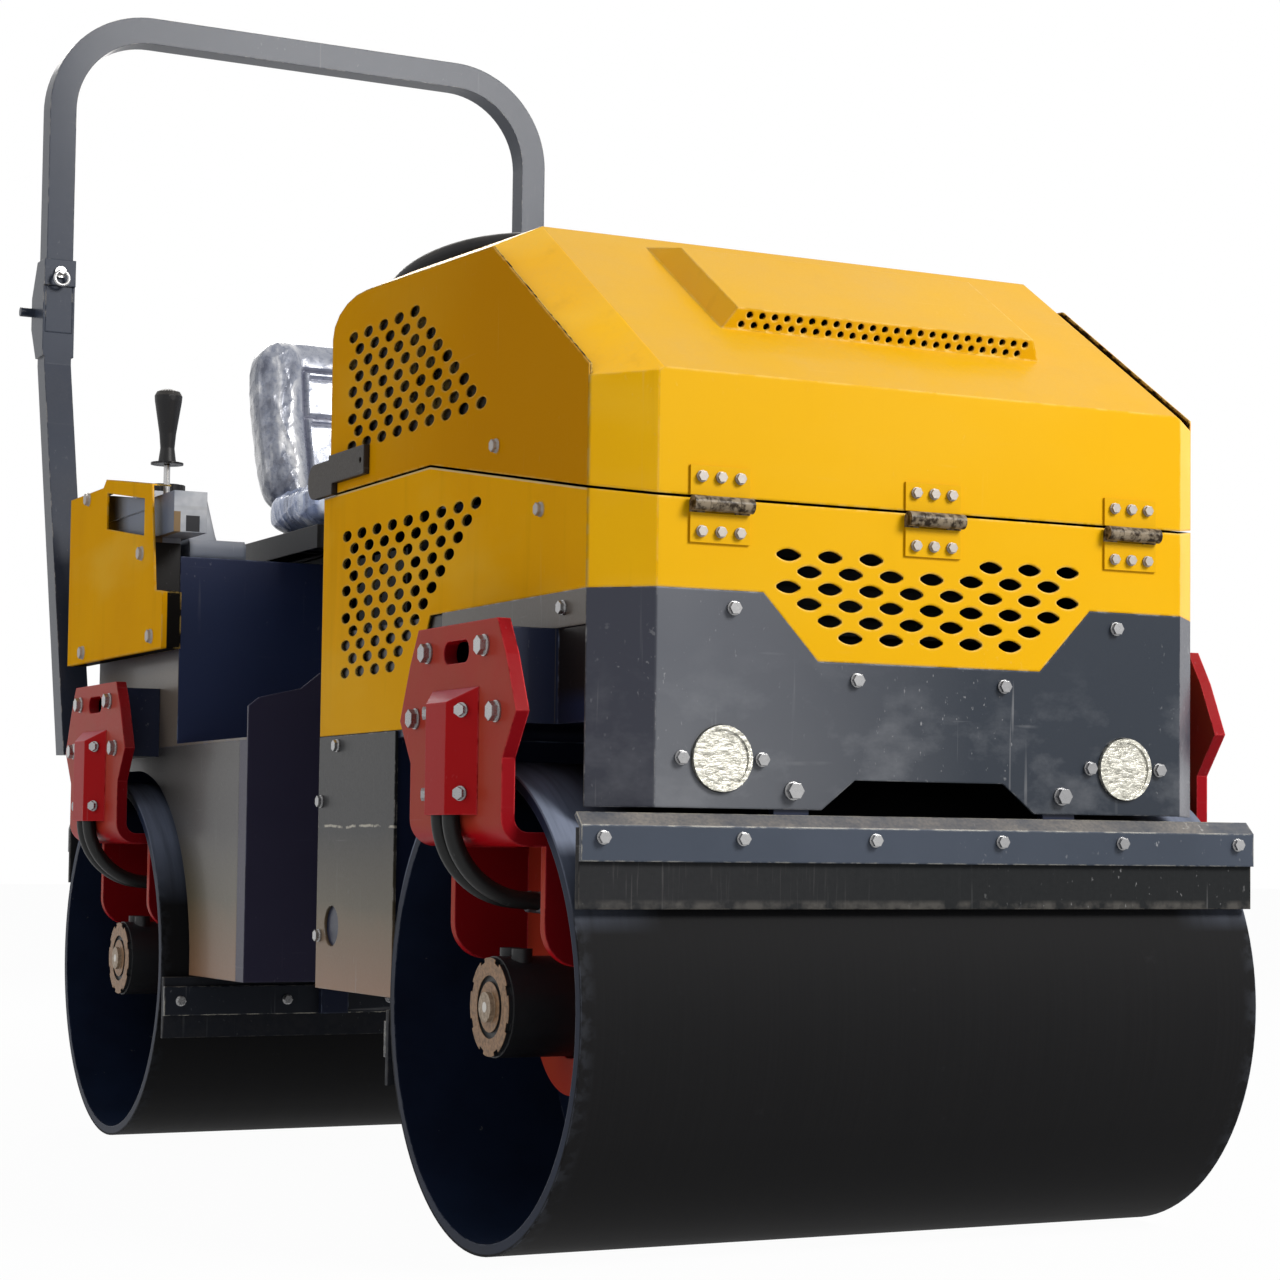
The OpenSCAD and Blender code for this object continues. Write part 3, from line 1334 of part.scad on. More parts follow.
module roll_bar_posts() color(frame_blue) placed() both() {
    x0 = hoop_half + face_gap - post_bar;
    x1 = hoop_half + face_gap;
    difference() {
        plate_x(x0, post_bar) post_outline(0);
        plate_x(x0 + bar_wall, post_bar - 2 * bar_wall) post_outline(bar_wall);
    }
    difference() {
        union() {
            plate_x(x1, hinge_t) cheek_plate();
            plate_x(x0 - hinge_t, hinge_t) cheek_plate();
            span([x0 - hinge_t, hoop_y - face_gap - hinge_t, hinge_z[1] - bar],
                [x1 + hinge_t, hoop_y - face_gap, hinge_z[1]]);
        }
        rod_y(lock_d + 2 * run_clear, 0, hoop_y, hoop_half - bar / 2, lock_z);
    }
    rod_x(fold_pin_d, x0 - hinge_t - bolt_head, x1 + hinge_t + bolt_af, pivot_y, pivot_z);
}

module hoop_form(t) {
    leg = hoop_z - hoop_r;
    both() {
        span([hoop_half - bar + t, hoop_y + t, fold_z + face_gap - t],
            [hoop_half - t, hoop_y + bar - t, leg]);
        translate([hoop_half - hoop_r, hoop_y + bar, leg]) rotate([90, 0, 0])
            rotate_extrude(angle = 90, $fn = 64) translate([hoop_r - bar + t, t])
                square([bar - 2 * t, bar - 2 * t]);
    }
    span([hoop_r - hoop_half, hoop_y + t, hoop_z - bar + t],
        [hoop_half - hoop_r, hoop_y + bar - t, hoop_z - t]);
}

module roll_bar_hoop() color(frame_blue) placed() {
    lug = fold_pin_d * 1.9;
    x = hoop_half - bar / 2;
    difference() {
        hoop_form(0);
        hoop_form(bar_wall);
        both() rod_y(lock_d * 1.5, 0, hoop_y + bar_wall / 2, x, lock_z);
    }
    both() difference() {
        union() {
            rod_x(lug, x - bar / 3, x + bar / 3, pivot_y, pivot_z);
            span([x - bar / 3, hoop_y + bar - over, pivot_z - lug / 2],
                [x + bar / 3, pivot_y, pivot_z + lug / 2]);
        }
        rod_x(fold_pin_d + 2 * run_clear, x - bar, x + bar, pivot_y, pivot_z);
    }
}

module lock_pin() {
    front = hoop_y - face_gap - hinge_t;
    x = hoop_half - bar / 2;
    rod_y(lock_d, front - over, hoop_y + bar_wall * 0.4, x, lock_z);
    rod_y(lock_d * 1.7, front - lock_d / 2 - face_gap, front - face_gap, x, lock_z);
    rod_y(lock_d * 0.8, front - lock_d * 1.4, front - lock_d / 2, x, lock_z);
    translate([x, front - lock_d * 1.1, lock_z - lock_d]) rotate([90, 0, 0])
        rotate_extrude($fn = 32) translate([lock_d, 0]) circle(leaf_t, $fn = 16);
}

module lock_pin_left() color(steel) placed() mirror([1, 0, 0]) lock_pin();
module lock_pin_right() color(steel) placed() lock_pin();

// Console on the left
console_ramp = 66;
console_lip = [18, 12];
console_bolts = [[887, 1028], [572, 912], [513, 780], [903, 776]];

module console_outline(t) {
    polygon([[console_y[0] + t, console_z[0] + t], [console_y[0] + t, console_z[1] - t],
        [console_y[0] + 2 * bar_wall * 4, console_z[1] + bar_wall],
        [console_y[0] + console_ramp - t, console_z[2] - t], [console_y[1], console_z[3] - t],
        [console_y[1] + console_lip[0], console_z[3] - console_lip[1] - t],
        [console_y[2] - t, console_z[3] - console_lip[1] - t],
        [console_y[2] - t, console_z[0] + t]]);
}

module console_window() {
    polygon([[window_y[0], window_z[0]], [window_y[1], window_z[0] + window_rise],
        [window_y[1], window_z[1]], [window_y[0], window_z[1] - window_rise]]);
}

module console_cover() color(hood_yellow) placed() mirror([1, 0, 0]) {
    difference() {
        plate_x(console_in, console_x - console_in) console_outline(0);
        plate_x(console_in - over, console_x - console_in - cover_t + over)
            console_outline(cover_t);
        plate_x(body_half, console_x) console_window();
    }
    for (p = console_bolts)
        bolt_x(console_x, p[0], p[1], small_bolt_af * 1.3, small_head);
}

module control_box() color(drum_black) placed() mirror([1, 0, 0]) {
    span([body_half, console_y[0] + bar * 2, console_z[0] + bar / 3],
        [console_x - cover_t, console_y[2] - bar * 5, console_z[1] + bar * 2]);
    difference() {
        span([body_half - rail_t, seatbox_y - bar * 2, console_z[1] + bar * 2],
            [console_x - bar / 3, console_y[1] + bar, lever_z[0] + lever_d * 1.6]);
        span([lever_x - lever_d - ear_gap, lever_y - 3 * lever_d, lever_z[0] - lever_d * 1.6],
            [lever_x + lever_d + ear_gap, lever_y + 3 * lever_d, lever_z[0] + bar]);
    }
    plate_x(console_x - bar / 1.9, bar / 4) polygon([[window_y[0] + bolt_af, lever_z[0]],
        [console_y[1] + bar, lever_z[0]], [console_y[1] + bar, window_z[1] + cover_t],
        [window_y[0] + bolt_af, window_z[1] - window_rise + cover_t]]);
    rod_x(lever_d, lever_x - lever_d - over, lever_x + lever_d + over, lever_y, lever_z[0]);
    for (z = [0.4, 0.75]) translate([body_half + bar / 2, console_y[0] + bar * 2,
        console_z[0] + (console_z[1] - console_z[0]) * z]) rotate([90, 0, 0])
            cylinder(d = hose_d, h = bar / 2);
}

lever_x = 415;
lever_y = 607;
lever_z = [984, 1176];
lever_d = 10;
ear_gap = 0.6;

module travel_lever() color(steel) placed() translate([-lever_x, lever_y, 0]) {
    translate([0, 0, lever_z[0] + lever_d * 0.8])
        cylinder(d = lever_d, h = lever_z[1] - lever_z[0] - bar - lever_d * 0.8);
    translate([0, 0, lever_z[0] + bar * 1.6]) cylinder(d = bar * 1.1, h = leaf_t);
    difference() {
        rod_x(lever_d * 2, -lever_d, lever_d, 0, lever_z[0]);
        rod_x(lever_d + 2 * run_clear, -bar, bar, 0, lever_z[0]);
    }
}

module lever_grip() color(rubber_black) placed() translate([-lever_x, lever_y, 0]) {
    low = lever_z[0] + bar * 1.6 + leaf_t;
    top = lever_z[1];
    translate([0, 0, low]) rotate_extrude($fn = 32) polygon([[lever_d / 2 + run_clear, 0],
        [lever_d * 1.4, 0], [lever_d * 1.1, bar / 2], [lever_d * 1.3, bar],
        [lever_d * 2.1, top - low - lever_d * 1.8], [lever_d * 2.15, top - low - lever_d],
        [lever_d * 1.8, top - low - lever_d / 3], [lever_d, top - low], [0, top - low],
        [0, top - low - bar / 2], [lever_d / 2 + run_clear, top - low - bar / 2]]);
}

water_x = [302, 392];
water_y = [552, 713, 761, 948];
water_z = [938, 1036];
cap_at = [350, 830];
cap_d = 62;

module water_tank() color([0.6, 0.62, 0.65]) placed() mirror([1, 0, 0]) difference() {
    union() {
        plate_x(water_x[0], water_x[1] - water_x[0]) difference() {
            polygon([[water_y[0], seatbox_z], [water_y[0], water_z[0] - bolt_head],
                [water_y[0] + bolt_head, water_z[0]], [water_y[1] - bolt_af, water_z[0]],
                [water_y[1], water_z[0] + bolt_af], [water_y[2], water_z[1] - bolt_head],
                [water_y[2] + bolt_head, water_z[1]], [water_y[3] - bolt_af, water_z[1]],
                [water_y[3], water_z[1] - bolt_af], [water_y[3], seatbox_z]]);
        }
        translate([cap_at[0], cap_at[1], water_z[1] - over])
            cylinder(d = cap_d * 0.7, h = bolt_head);
    }
    translate([cap_at[0], cap_at[1], seatbox_z + bolt_head])
        cylinder(d = cap_d * 0.5, h = water_z[1]);
}

module tank_cap() color(rubber_black) placed()
    translate([-cap_at[0], cap_at[1], water_z[1] + face_gap]) difference() {
        cylinder(d = cap_d, h = bolt_af * 0.7);
        translate([0, 0, -over]) cylinder(d = cap_d * 0.72, h = bolt_head + over);
        for (a = [0:30:330]) rotate([0, 0, a]) translate([cap_d / 2 + leaf_t / 2, 0, -over])
            cylinder(d = leaf_t * 2, h = bolt_af, $fn = 14);
    }

// Seat
rail_half = 150;
seat_y1 = 850;
back_y = cushion_y + cushion_size[1] + back_size[1] * 0.9;

module seat_rails() color(rubber_black) placed() both()
    span([rail_half - bolt_head, cushion_y + bolt_af, seatbox_z],
        [rail_half + bolt_head, seat_y1, seatbox_z + fold_pin_d]);

module seat_base() color(rubber_black) placed() {
    z = seatbox_z + fold_pin_d + face_gap;
    w = cushion_size[0] / 2 - fold_pin_d;
    difference() {
        span([-w, cushion_y + fold_pin_d, z], [w, seat_y1, cushion_z]);
        span([box_t - w, cushion_y + fold_pin_d + box_t, z - over], [w - box_t,
            seat_y1 - box_t, cushion_z - box_t]);
    }
    both() span([rail_half - bolt_head * 2, cushion_y + bolt_af * 2, z],
        [rail_half + bolt_head * 2, seat_y1 - bolt_af, z + box_t]);
    for (y = [cushion_y + bolt_af * 2, seat_y1 - bolt_af * 2])
        span([-w + over, y, z], [w - over, y + bolt_af, z + box_t]);
    both() translate([rail_half * 0.6, back_y, cushion_z + cushion_size[2] * 0.42])
        rotate([-back_lean, 0, 0]) span([0, 0, -cushion_size[2] * 0.42 - bolt_head],
            [rail_half * 0.4, bolt_head, back_size[2] * 0.5]);
}

// Pad over a flat base: crown, drawn-in edges and seams pressed across it.
// u and v run over the face from -1 to 1; height falls off as the eighth power.
pad_n = 20;
function pad_fall(u) = pow(max(1 - pow(abs(u), 6), 0), 0.45);
function seam(u, at, w) = exp(-pow((u - at) / w, 2));

function pad_top(u, v, h, seams_u, seams_v) = h * pad_fall(u) * pad_fall(v)
    * (1 - 0.16 * (u * u + v * v) / 2) * (1 - 0.22 * max([for (s = seams_u) seam(u, s, 0.05)])
    * pad_fall(v)) * (1 - 0.2 * max([for (s = seams_v) seam(v, s, 0.05)]) * pad_fall(u));

module pad(size, seams_u, seams_v) {
    n = pad_n;
    base = size[2] * 0.3;
    top = [for (j = [0:n], i = [0:n]) let(u = 2 * i / n - 1, v = 2 * j / n - 1)
        [size[0] / 2 * u * (1 - 0.02 * v * v), size[1] / 2 * v * (1 - 0.03 * u * u),
            base + (size[2] - base) * pad_top(u, v, 1, seams_u, seams_v)]];
    low = [for (j = [0:n], i = [0:n]) let(u = 2 * i / n - 1, v = 2 * j / n - 1)
        [size[0] / 2 * u * (1 - 0.02 * v * v) * 0.97, size[1] / 2 * v * (1 - 0.03 * u * u) * 0.97,
            0]];
    m = (n + 1) * (n + 1);
    up = [for (j = [0:n - 1], i = [0:n - 1]) let(a = j * (n + 1) + i)
        each [[a, a + n + 1, a + 1], [a + 1, a + n + 1, a + n + 2]]];
    down = [for (f = up) [f[0] + m, f[2] + m, f[1] + m]];
    rim = concat([for (i = [0:n]) i], [for (j = [1:n]) j * (n + 1) + n],
        [for (i = [n - 1:-1:0]) n * (n + 1) + i], [for (j = [n - 1:-1:1]) j * (n + 1)]);
    edge = [for (k = [0:len(rim) - 1]) let(a = rim[k], b = rim[(k + 1) % len(rim)])
        each [[a, b, a + m], [b, b + m, a + m]]];
    polyhedron(concat(top, low), concat(up, down, edge));
}

module seat_cushion() color(seat_silver) placed()
    translate([0, cushion_y + cushion_size[1] / 2, cushion_z])
        pad(cushion_size, [-0.62, 0.62], [-0.2, 0.35]);

module seat_backrest() color(seat_silver) placed()
    translate([0, back_y, cushion_z + cushion_size[2] * 0.42])
        rotate([-back_lean, 0, 0]) translate([0, 0, back_size[2] / 2]) rotate([90, 0, 0])
            pad([back_size[0], back_size[2], back_size[1]], [-0.62, 0.62], [-0.25, 0.28]);

// Steering wheel and its column
module steering_tower() color(rubber_black) placed() {
    lean = wheel_at[0] - sin(wheel_tilt) * (wheel_at[1] - tower_z);
    plate_x(-tower_half, 2 * tower_half) polygon([[bulk_y + bulk_t, bulk_step_z[2] + bar + over],
        [bulk_y + bulk_t, floor_z],
        [bulk_y + bulk_t + tower_d, floor_z], [bulk_y + bulk_t + tower_d, tower_z * 0.86],
        [lean + tower_d / 2, tower_z], [lean - tower_d / 2, tower_z]]);
    translate([0, wheel_at[0], wheel_at[1]]) rotate([-wheel_tilt, 0, 0])
        translate([0, 0, -wheel_r]) difference() {
            cylinder(d = shaft_d * 2, h = wheel_r - 2 * rim_d);
            translate([0, 0, wheel_r * 0.3]) cylinder(d = shaft_d + 2 * run_clear, h = wheel_r);
        }
}

module steering_wheel() color(rubber_black) placed()
    translate([0, wheel_at[0], wheel_at[1]]) rotate([-wheel_tilt, 0, 0]) {
        rotate_extrude($fn = 64) translate([wheel_r - rim_d / 2, 0]) circle(d = rim_d, $fn = 24);
        translate([0, 0, -rim_d]) cylinder(d = 3 * rim_d, h = rim_d * 1.2);
        translate([0, 0, -wheel_r * 0.65]) cylinder(d = shaft_d, h = wheel_r * 0.6);
        for (a = [90, 210, 330]) rotate([0, 0, a])
            span([rim_d, -rim_d * 0.6, -rim_d * 0.5], [wheel_r - rim_d * 0.6, rim_d * 0.6,
                -rim_d * 0.2]);
    }

front_frame();
front_hangers();
front_hose_covers();
front_drum_hoses();
front_drum_motors();
front_rubber_mounts();
front_scraper_bars();
front_scraper_blades();
front_bolts();
front_apron();
front_skirts();
lower_hood_front();
lower_hood_sides();
headlamps();
engine();
radiator();
fuel_tank();
battery();
muffler();
hydraulic_pump();
hinge_lower_leaves();
upper_hood();
upper_hood_sides();
hinge_upper_leaves();
latch_left();
latch_right();
front_drum();
front_eccentric();
center_yoke();
rear_frame();
rear_bulkhead();
seat_box();
rear_hangers();
rear_hose_covers();
rear_drum_hoses();
rear_drum_motors();
rear_rubber_mounts();
rear_scraper_bars();
rear_scraper_blades();
rear_bolts();
roll_bar_posts();
roll_bar_hoop();
lock_pin_left();
lock_pin_right();
console_cover();
control_box();
travel_lever();
lever_grip();
water_tank();
tank_cap();
seat_rails();
seat_base();
seat_cushion();
seat_backrest();
steering_tower();
steering_wheel();
steering_cylinder();
steering_rod();
rear_drum();
rear_eccentric();
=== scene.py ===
import math

import bmesh
import bpy
import numpy as np
from mathutils import Matrix, Vector


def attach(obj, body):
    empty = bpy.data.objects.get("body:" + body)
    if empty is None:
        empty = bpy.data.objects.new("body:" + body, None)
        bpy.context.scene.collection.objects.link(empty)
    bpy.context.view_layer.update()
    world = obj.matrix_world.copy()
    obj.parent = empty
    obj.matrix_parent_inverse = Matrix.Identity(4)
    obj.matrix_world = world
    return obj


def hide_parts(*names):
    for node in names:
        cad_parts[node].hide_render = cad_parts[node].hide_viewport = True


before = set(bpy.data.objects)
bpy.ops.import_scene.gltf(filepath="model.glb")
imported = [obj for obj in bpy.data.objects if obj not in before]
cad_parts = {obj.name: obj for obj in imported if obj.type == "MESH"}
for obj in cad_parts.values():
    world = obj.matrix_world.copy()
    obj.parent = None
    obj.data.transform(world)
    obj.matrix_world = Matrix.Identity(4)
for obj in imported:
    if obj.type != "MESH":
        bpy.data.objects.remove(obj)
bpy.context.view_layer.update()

# Camera, at the photograph's viewing angle
EYE = (-1.7317, -3.95305, 0.460)
YAW, PITCH, ROLL = 0.4954, 0.0541, 0.0101


def make_camera():
    """Forward from yaw and pitch, right level with the ground, and both turned by the roll."""
    data = bpy.data.cameras.new("camera")
    data.lens, data.sensor_width = 81.9, 36.0
    data.shift_x, data.shift_y = -0.1068, 0.0424
    data.clip_start, data.clip_end = 0.05, 100.0
    forward = Vector((math.sin(YAW) * math.cos(PITCH), math.cos(YAW) * math.cos(PITCH),
                      math.sin(PITCH)))
    level = Vector((math.cos(YAW), -math.sin(YAW), 0.0))
    upright = level.cross(forward)
    right = level * math.cos(ROLL) + upright * math.sin(ROLL)
    up = upright * math.cos(ROLL) - level * math.sin(ROLL)
    camera = bpy.data.objects.new("camera", data)
    bpy.context.scene.collection.objects.link(camera)
    turn = Matrix((right, up, -forward)).transposed().to_4x4()
    camera.matrix_world = Matrix.Translation(EYE) @ turn
    bpy.context.scene.camera = camera


make_camera()

# Where things are, in metres: the steering joint is the machine's own zero
JOINT_Y = -0.10125
AXLE_FRONT = JOINT_Y - 0.762
AXLE_REAR = JOINT_Y + 0.762
AXLE_Z = 0.280

# The joint between the hoods rises from the front corner to its break at the vents
HOOD_CORNER_Y, HOOD_BREAK_Y = JOINT_Y - 0.959, JOINT_Y - 0.491
HOOD_MIDDLE = (0.0, -0.67, 0.85)

# Faces at each side, as distances from the middle plane
PLATE_X = 0.403
SHEET_X = 0.407
CONSOLE_X = 0.462

# Middle of the hood hinges' knuckles, and the outer face of their leaves
HINGE_Z = 0.840
LEAF_Y = -1.1214


# Shader helpers

def feed(tree, socket, value):
    """Links an output to the socket, or gives the socket its number or colour."""
    if isinstance(value, bpy.types.NodeSocket):
        tree.links.new(value, socket)
    else:
        socket.default_value = value


def node(tree, kind, sockets=None, **settings):
    """One shader node. A socket is given a number, a colour or the output that feeds it."""
    made = tree.nodes.new(kind)
    for key, value in settings.items():
        setattr(made, key, value)
    for key, value in (sockets or {}).items():
        feed(tree, made.inputs[key], value)
    return made


def maths(tree, how, a, b=0.0, clamp=False):
    return node(tree, "ShaderNodeMath", {0: a, 1: b}, operation=how, use_clamp=clamp).outputs[0]


def plus(tree, a, b):
    return maths(tree, "ADD", a, b)


def less(tree, a, b):
    return maths(tree, "SUBTRACT", a, b)


def times(tree, product, *rest):
    for value in rest:
        product = maths(tree, "MULTIPLY", product, value)
    return product


def size(tree, value):
    return maths(tree, "ABSOLUTE", value)


def ramp(tree, value, low, high, out_low=0.0, out_high=1.0):
    """Straight line from out_low at low to out_high at high, held level beyond them."""
    made = node(tree, "ShaderNodeMapRange", {"Value": value, "From Min": low, "From Max": high,
                                             "To Min": out_low, "To Max": out_high})
    return made.outputs["Result"]


def band(tree, value, low, high, soft):
    """One from low to high, falling to zero within soft of them."""
    return times(tree, ramp(tree, value, low - soft, low), ramp(tree, value, high + soft, high))


def mix(tree, share, a, b):
    """Colour a, turned into b by the share."""
    made = node(tree, "ShaderNodeMix", {"Factor": share, 6: a, 7: b}, data_type="RGBA")
    return made.outputs[2]


def group(name, takes, gives):
    """Empty node group with named number inputs, and outputs that are numbers or a normal."""
    tree = bpy.data.node_groups.new(name, "ShaderNodeTree")
    for key, value in takes.items():
        socket = tree.interface.new_socket(key, in_out="INPUT", socket_type="NodeSocketFloat")
        socket.default_value = value
    for key, kind in gives.items():
        tree.interface.new_socket(key, in_out="OUTPUT", socket_type="NodeSocket" + kind)
    return tree, tree.nodes.new("NodeGroupInput").outputs, tree.nodes.new("NodeGroupOutput").inputs


def use(tree, shared, **values):
    return node(tree, "ShaderNodeGroup", values, node_tree=shared).outputs


def here(tree):
    return node(tree, "ShaderNodeTexCoord").outputs["Object"]


def split(tree, vector):
    return node(tree, "ShaderNodeSeparateXYZ", {0: vector}).outputs


def place(tree):
    """X, Y and Z of the point on the machine."""
    return split(tree, here(tree))


def facing(tree):
    """X, Y and Z of the direction that the surface looks in."""
    return split(tree, node(tree, "ShaderNodeNewGeometry").outputs["Normal"])


def noise(tree, at, scale, detail=3.0, roughness=0.55):
    made = node(tree, "ShaderNodeTexNoise", {"Vector": at, "Scale": scale, "Detail": detail,
                                             "Roughness": roughness})
    return made.outputs["Fac"]


def streaks(tree, stretch, detail=3.0, roughness=0.55):
    """Noise with a scale of its own along each axis."""
    at = node(tree, "ShaderNodeMapping", {"Vector": here(tree), "Scale": stretch}).outputs["Vector"]
    return noise(tree, at, 1.0, detail, roughness)


def wavy_height(tree, wave):
    """Height above the ground with slow waves on it, for a border that wanders."""
    return plus(tree, place(tree)["Z"], times(tree, noise(tree, here(tree), 7.0), wave))


def relief(tree, height, strength, distance, normal=None):
    made = node(tree, "ShaderNodeBump", {"Height": height, "Strength": strength,
                                         "Distance": distance})
    if normal:
        tree.links.new(normal, made.inputs["Normal"])
    return made.outputs[0]


def edge_group():
    """Edges rounded by a small radius. Mask is one where that rounding turns the normal, broken up
    by noise; finishes use it for rubbed paint and for a painted highlight along the edges."""
    tree, take, give = group("worn_and_lit_edges", {"Radius": 0.003, "Broken": 0.5},
                             {"Mask": "Float", "Normal": "Vector"})
    bevel = node(tree, "ShaderNodeBevel", {"Radius": take["Radius"]}, samples=4).outputs[0]
    flat = node(tree, "ShaderNodeNewGeometry").outputs["Normal"]
    dot = node(tree, "ShaderNodeVectorMath", {0: bevel, 1: flat}, operation="DOT_PRODUCT")
    turned = ramp(tree, less(tree, 1.0, dot.outputs["Value"]), 0.02, 0.2)
    patchiness = ramp(tree, noise(tree, here(tree), 55.0, 4.0), take["Broken"],
               plus(tree, take["Broken"], 0.12))
    tree.links.new(times(tree, turned, patchiness), give["Mask"])
    tree.links.new(bevel, give["Normal"])
    return tree


def dust_group():
    """Dust lies where the surface looks up, thicker in patches."""
    tree, take, give = group("settled_dust", {"Amount": 0.4}, {"Mask": "Float"})
    lying = ramp(tree, facing(tree)["Z"], 0.1, 0.95)
    patch = ramp(tree, noise(tree, here(tree), 9.0, 5.0, 0.6), 0.32, 0.72)
    fine = ramp(tree, noise(tree, here(tree), 240.0, 2.0), 0.3, 0.7, 0.5, 1.0)
    tree.links.new(times(tree, lying, patch, fine, take["Amount"]), give["Mask"])
    return tree


def grain_group():
    """Sum of a coarse and a fine noise: Height for bumps, Shade for slow changes of tone."""
    tree, take, give = group("surface_grain", {"Scale": 300.0, "Fine": 0.3},
                             {"Height": "Float", "Shade": "Float"})
    coarse = noise(tree, here(tree), take["Scale"], 2.0)
    fine = noise(tree, here(tree), times(tree, take["Scale"], 6.0), 1.0)
    tree.links.new(plus(tree, coarse, times(tree, fine, take["Fine"])), give["Height"])
    tree.links.new(noise(tree, here(tree), 2.3, 4.0, 0.6), give["Shade"])
    return tree


def scuff_group():
    """Fine scratches: noise drawn out along one direction, cut off high, in three directions."""
    tree, take, give = group("fine_scuffs", {"Amount": 0.5}, {"Mask": "Float"})
    total = 0.0
    for stretch in ((4.0, 160.0, 60.0), (160.0, 5.0, 90.0), (70.0, 120.0, 3.0)):
        cut = ramp(tree, streaks(tree, stretch, 2.0, 0.7), 0.68, 0.76)
        total = maths(tree, "MAXIMUM", total, cut)
    patch = ramp(tree, noise(tree, here(tree), 5.0, 3.0), 0.42, 0.62)
    tree.links.new(times(tree, total, patch, take["Amount"]), give["Mask"])
    return tree


EDGES, DUST, GRAIN, SCUFFS = edge_group(), dust_group(), grain_group(), scuff_group()


def rgb(red, green, blue):
    """Linear colour for a colour read as 0 to 255 on a screen."""
    lin = (((c / 255 + 0.055) / 1.055) ** 2.4 if c > 10 else c / 3294.6
           for c in (red, green, blue))
    return (*lin, 1.0)


DUST_TONE = (0.42, 0.36, 0.28, 1.0)
SCRATCH_TONE = (0.6, 0.6, 0.6, 1.0)
STUD_TONE = rgb(158, 152, 146)


def start(name):
    made = bpy.data.materials.new(name)
    made.use_nodes = True
    return made, made.node_tree


def coat_with(tree, sockets):
    """Feeds the material's own surface shader."""
    for key, value in sockets.items():
        feed(tree, tree.nodes["Principled BSDF"].inputs[key], value)


def finish(name, tone, tone_two=None, rough=0.35, metal=0.0, coat=0.0, coat_rough=0.1, shine=0.5,
           grain=300.0, bump=0.05, bump_depth=0.0004, radius=0.003, broken=0.5, edge_wear_and_highlight=None,
           bare_metal=0.6, dust=0.3, scuffs=0.2, tint=None, studs=None):
    """One worn finish: two slow tones, fine scuffs, dust on top, a tone on the rounded edges that
    is rubbed paint on some finishes and a painted highlight on others, grain as bump.
    tint(tree, colour) may change the colour over the surface before wear and dust.
    studs(tree) is one where a zinc fastener stands out of the sheet."""
    made, tree = start(name)
    tones = use(tree, GRAIN, Scale=grain)
    edges = use(tree, EDGES, Radius=radius, Broken=broken)
    scratch = use(tree, SCUFFS, Amount=scuffs)["Mask"]
    lying = use(tree, DUST, Amount=dust)["Mask"]
    colour = mix(tree, ramp(tree, tones["Shade"], 0.35, 0.65), tone, tone_two or tone)
    if tint:
        colour = tint(tree, colour)
    colour = mix(tree, scratch, colour, mix(tree, 0.5, tone, SCRATCH_TONE))
    level = metal
    # Edge tone: a painted highlight on the yellow and red finishes, rubbed wear that also lights
    # the edge on the others.
    if edge_wear_and_highlight:
        colour = mix(tree, edges["Mask"], colour, edge_wear_and_highlight)
    if edge_wear_and_highlight and bare_metal > metal:
        level = maths(tree, "MAXIMUM", level, times(tree, edges["Mask"], bare_metal))
    colour = mix(tree, lying, colour, DUST_TONE)
    if studs:
        stud = studs(tree)
        colour = mix(tree, stud, colour, STUD_TONE)
        level = maths(tree, "MAXIMUM", level, times(tree, stud, 0.7))
    grained = ramp(tree, tones["Height"], 0.3, 1.0, rough * 0.85, rough * 1.2)
    coat_with(tree, {
        "Base Color": colour,
        "Roughness": maths(tree, "ADD", grained, times(tree, lying, 0.5), clamp=True),
        "Metallic": level,
        "Normal": relief(tree, tones["Height"], bump, bump_depth, edges["Normal"]),
        "Coat Weight": coat,
        "Coat Roughness": coat_rough,
        "Specular IOR Level": shine})
    return made


# Changes of colour over a piece

def low_tone(low, high, tone, strength):
    """Colour turns towards the tone going down from high to low, with a wavy border."""
    def tint(tree, colour):
        height = wavy_height(tree, 0.02)
        return mix(tree, ramp(tree, height, low, high, strength, 0.0), colour, tone)
    return tint


def side_studs(face):
    """Screws on an outer side: everything further out than its face."""
    def mask(tree):
        return ramp(tree, size(tree, place(tree)["X"]), face + 0.0005, face + 0.0008)
    return mask


def grime_tint(tree, colour):
    """Faint brownish runs of grime, and pale clouds of painted reflection over the yellow."""
    soiled = ramp(tree, streaks(tree, (26.0, 26.0, 2.2), 4.0, 0.6), 0.56, 0.8, 0.0, 0.3)
    sheen_cloud = ramp(tree, streaks(tree, (3.0, 3.0, 9.0), 3.0, 0.5), 0.5, 0.75, 0.0, 0.28)
    return mix(tree, sheen_cloud, mix(tree, soiled, colour, rgb(196, 134, 10)), rgb(252, 214, 92))


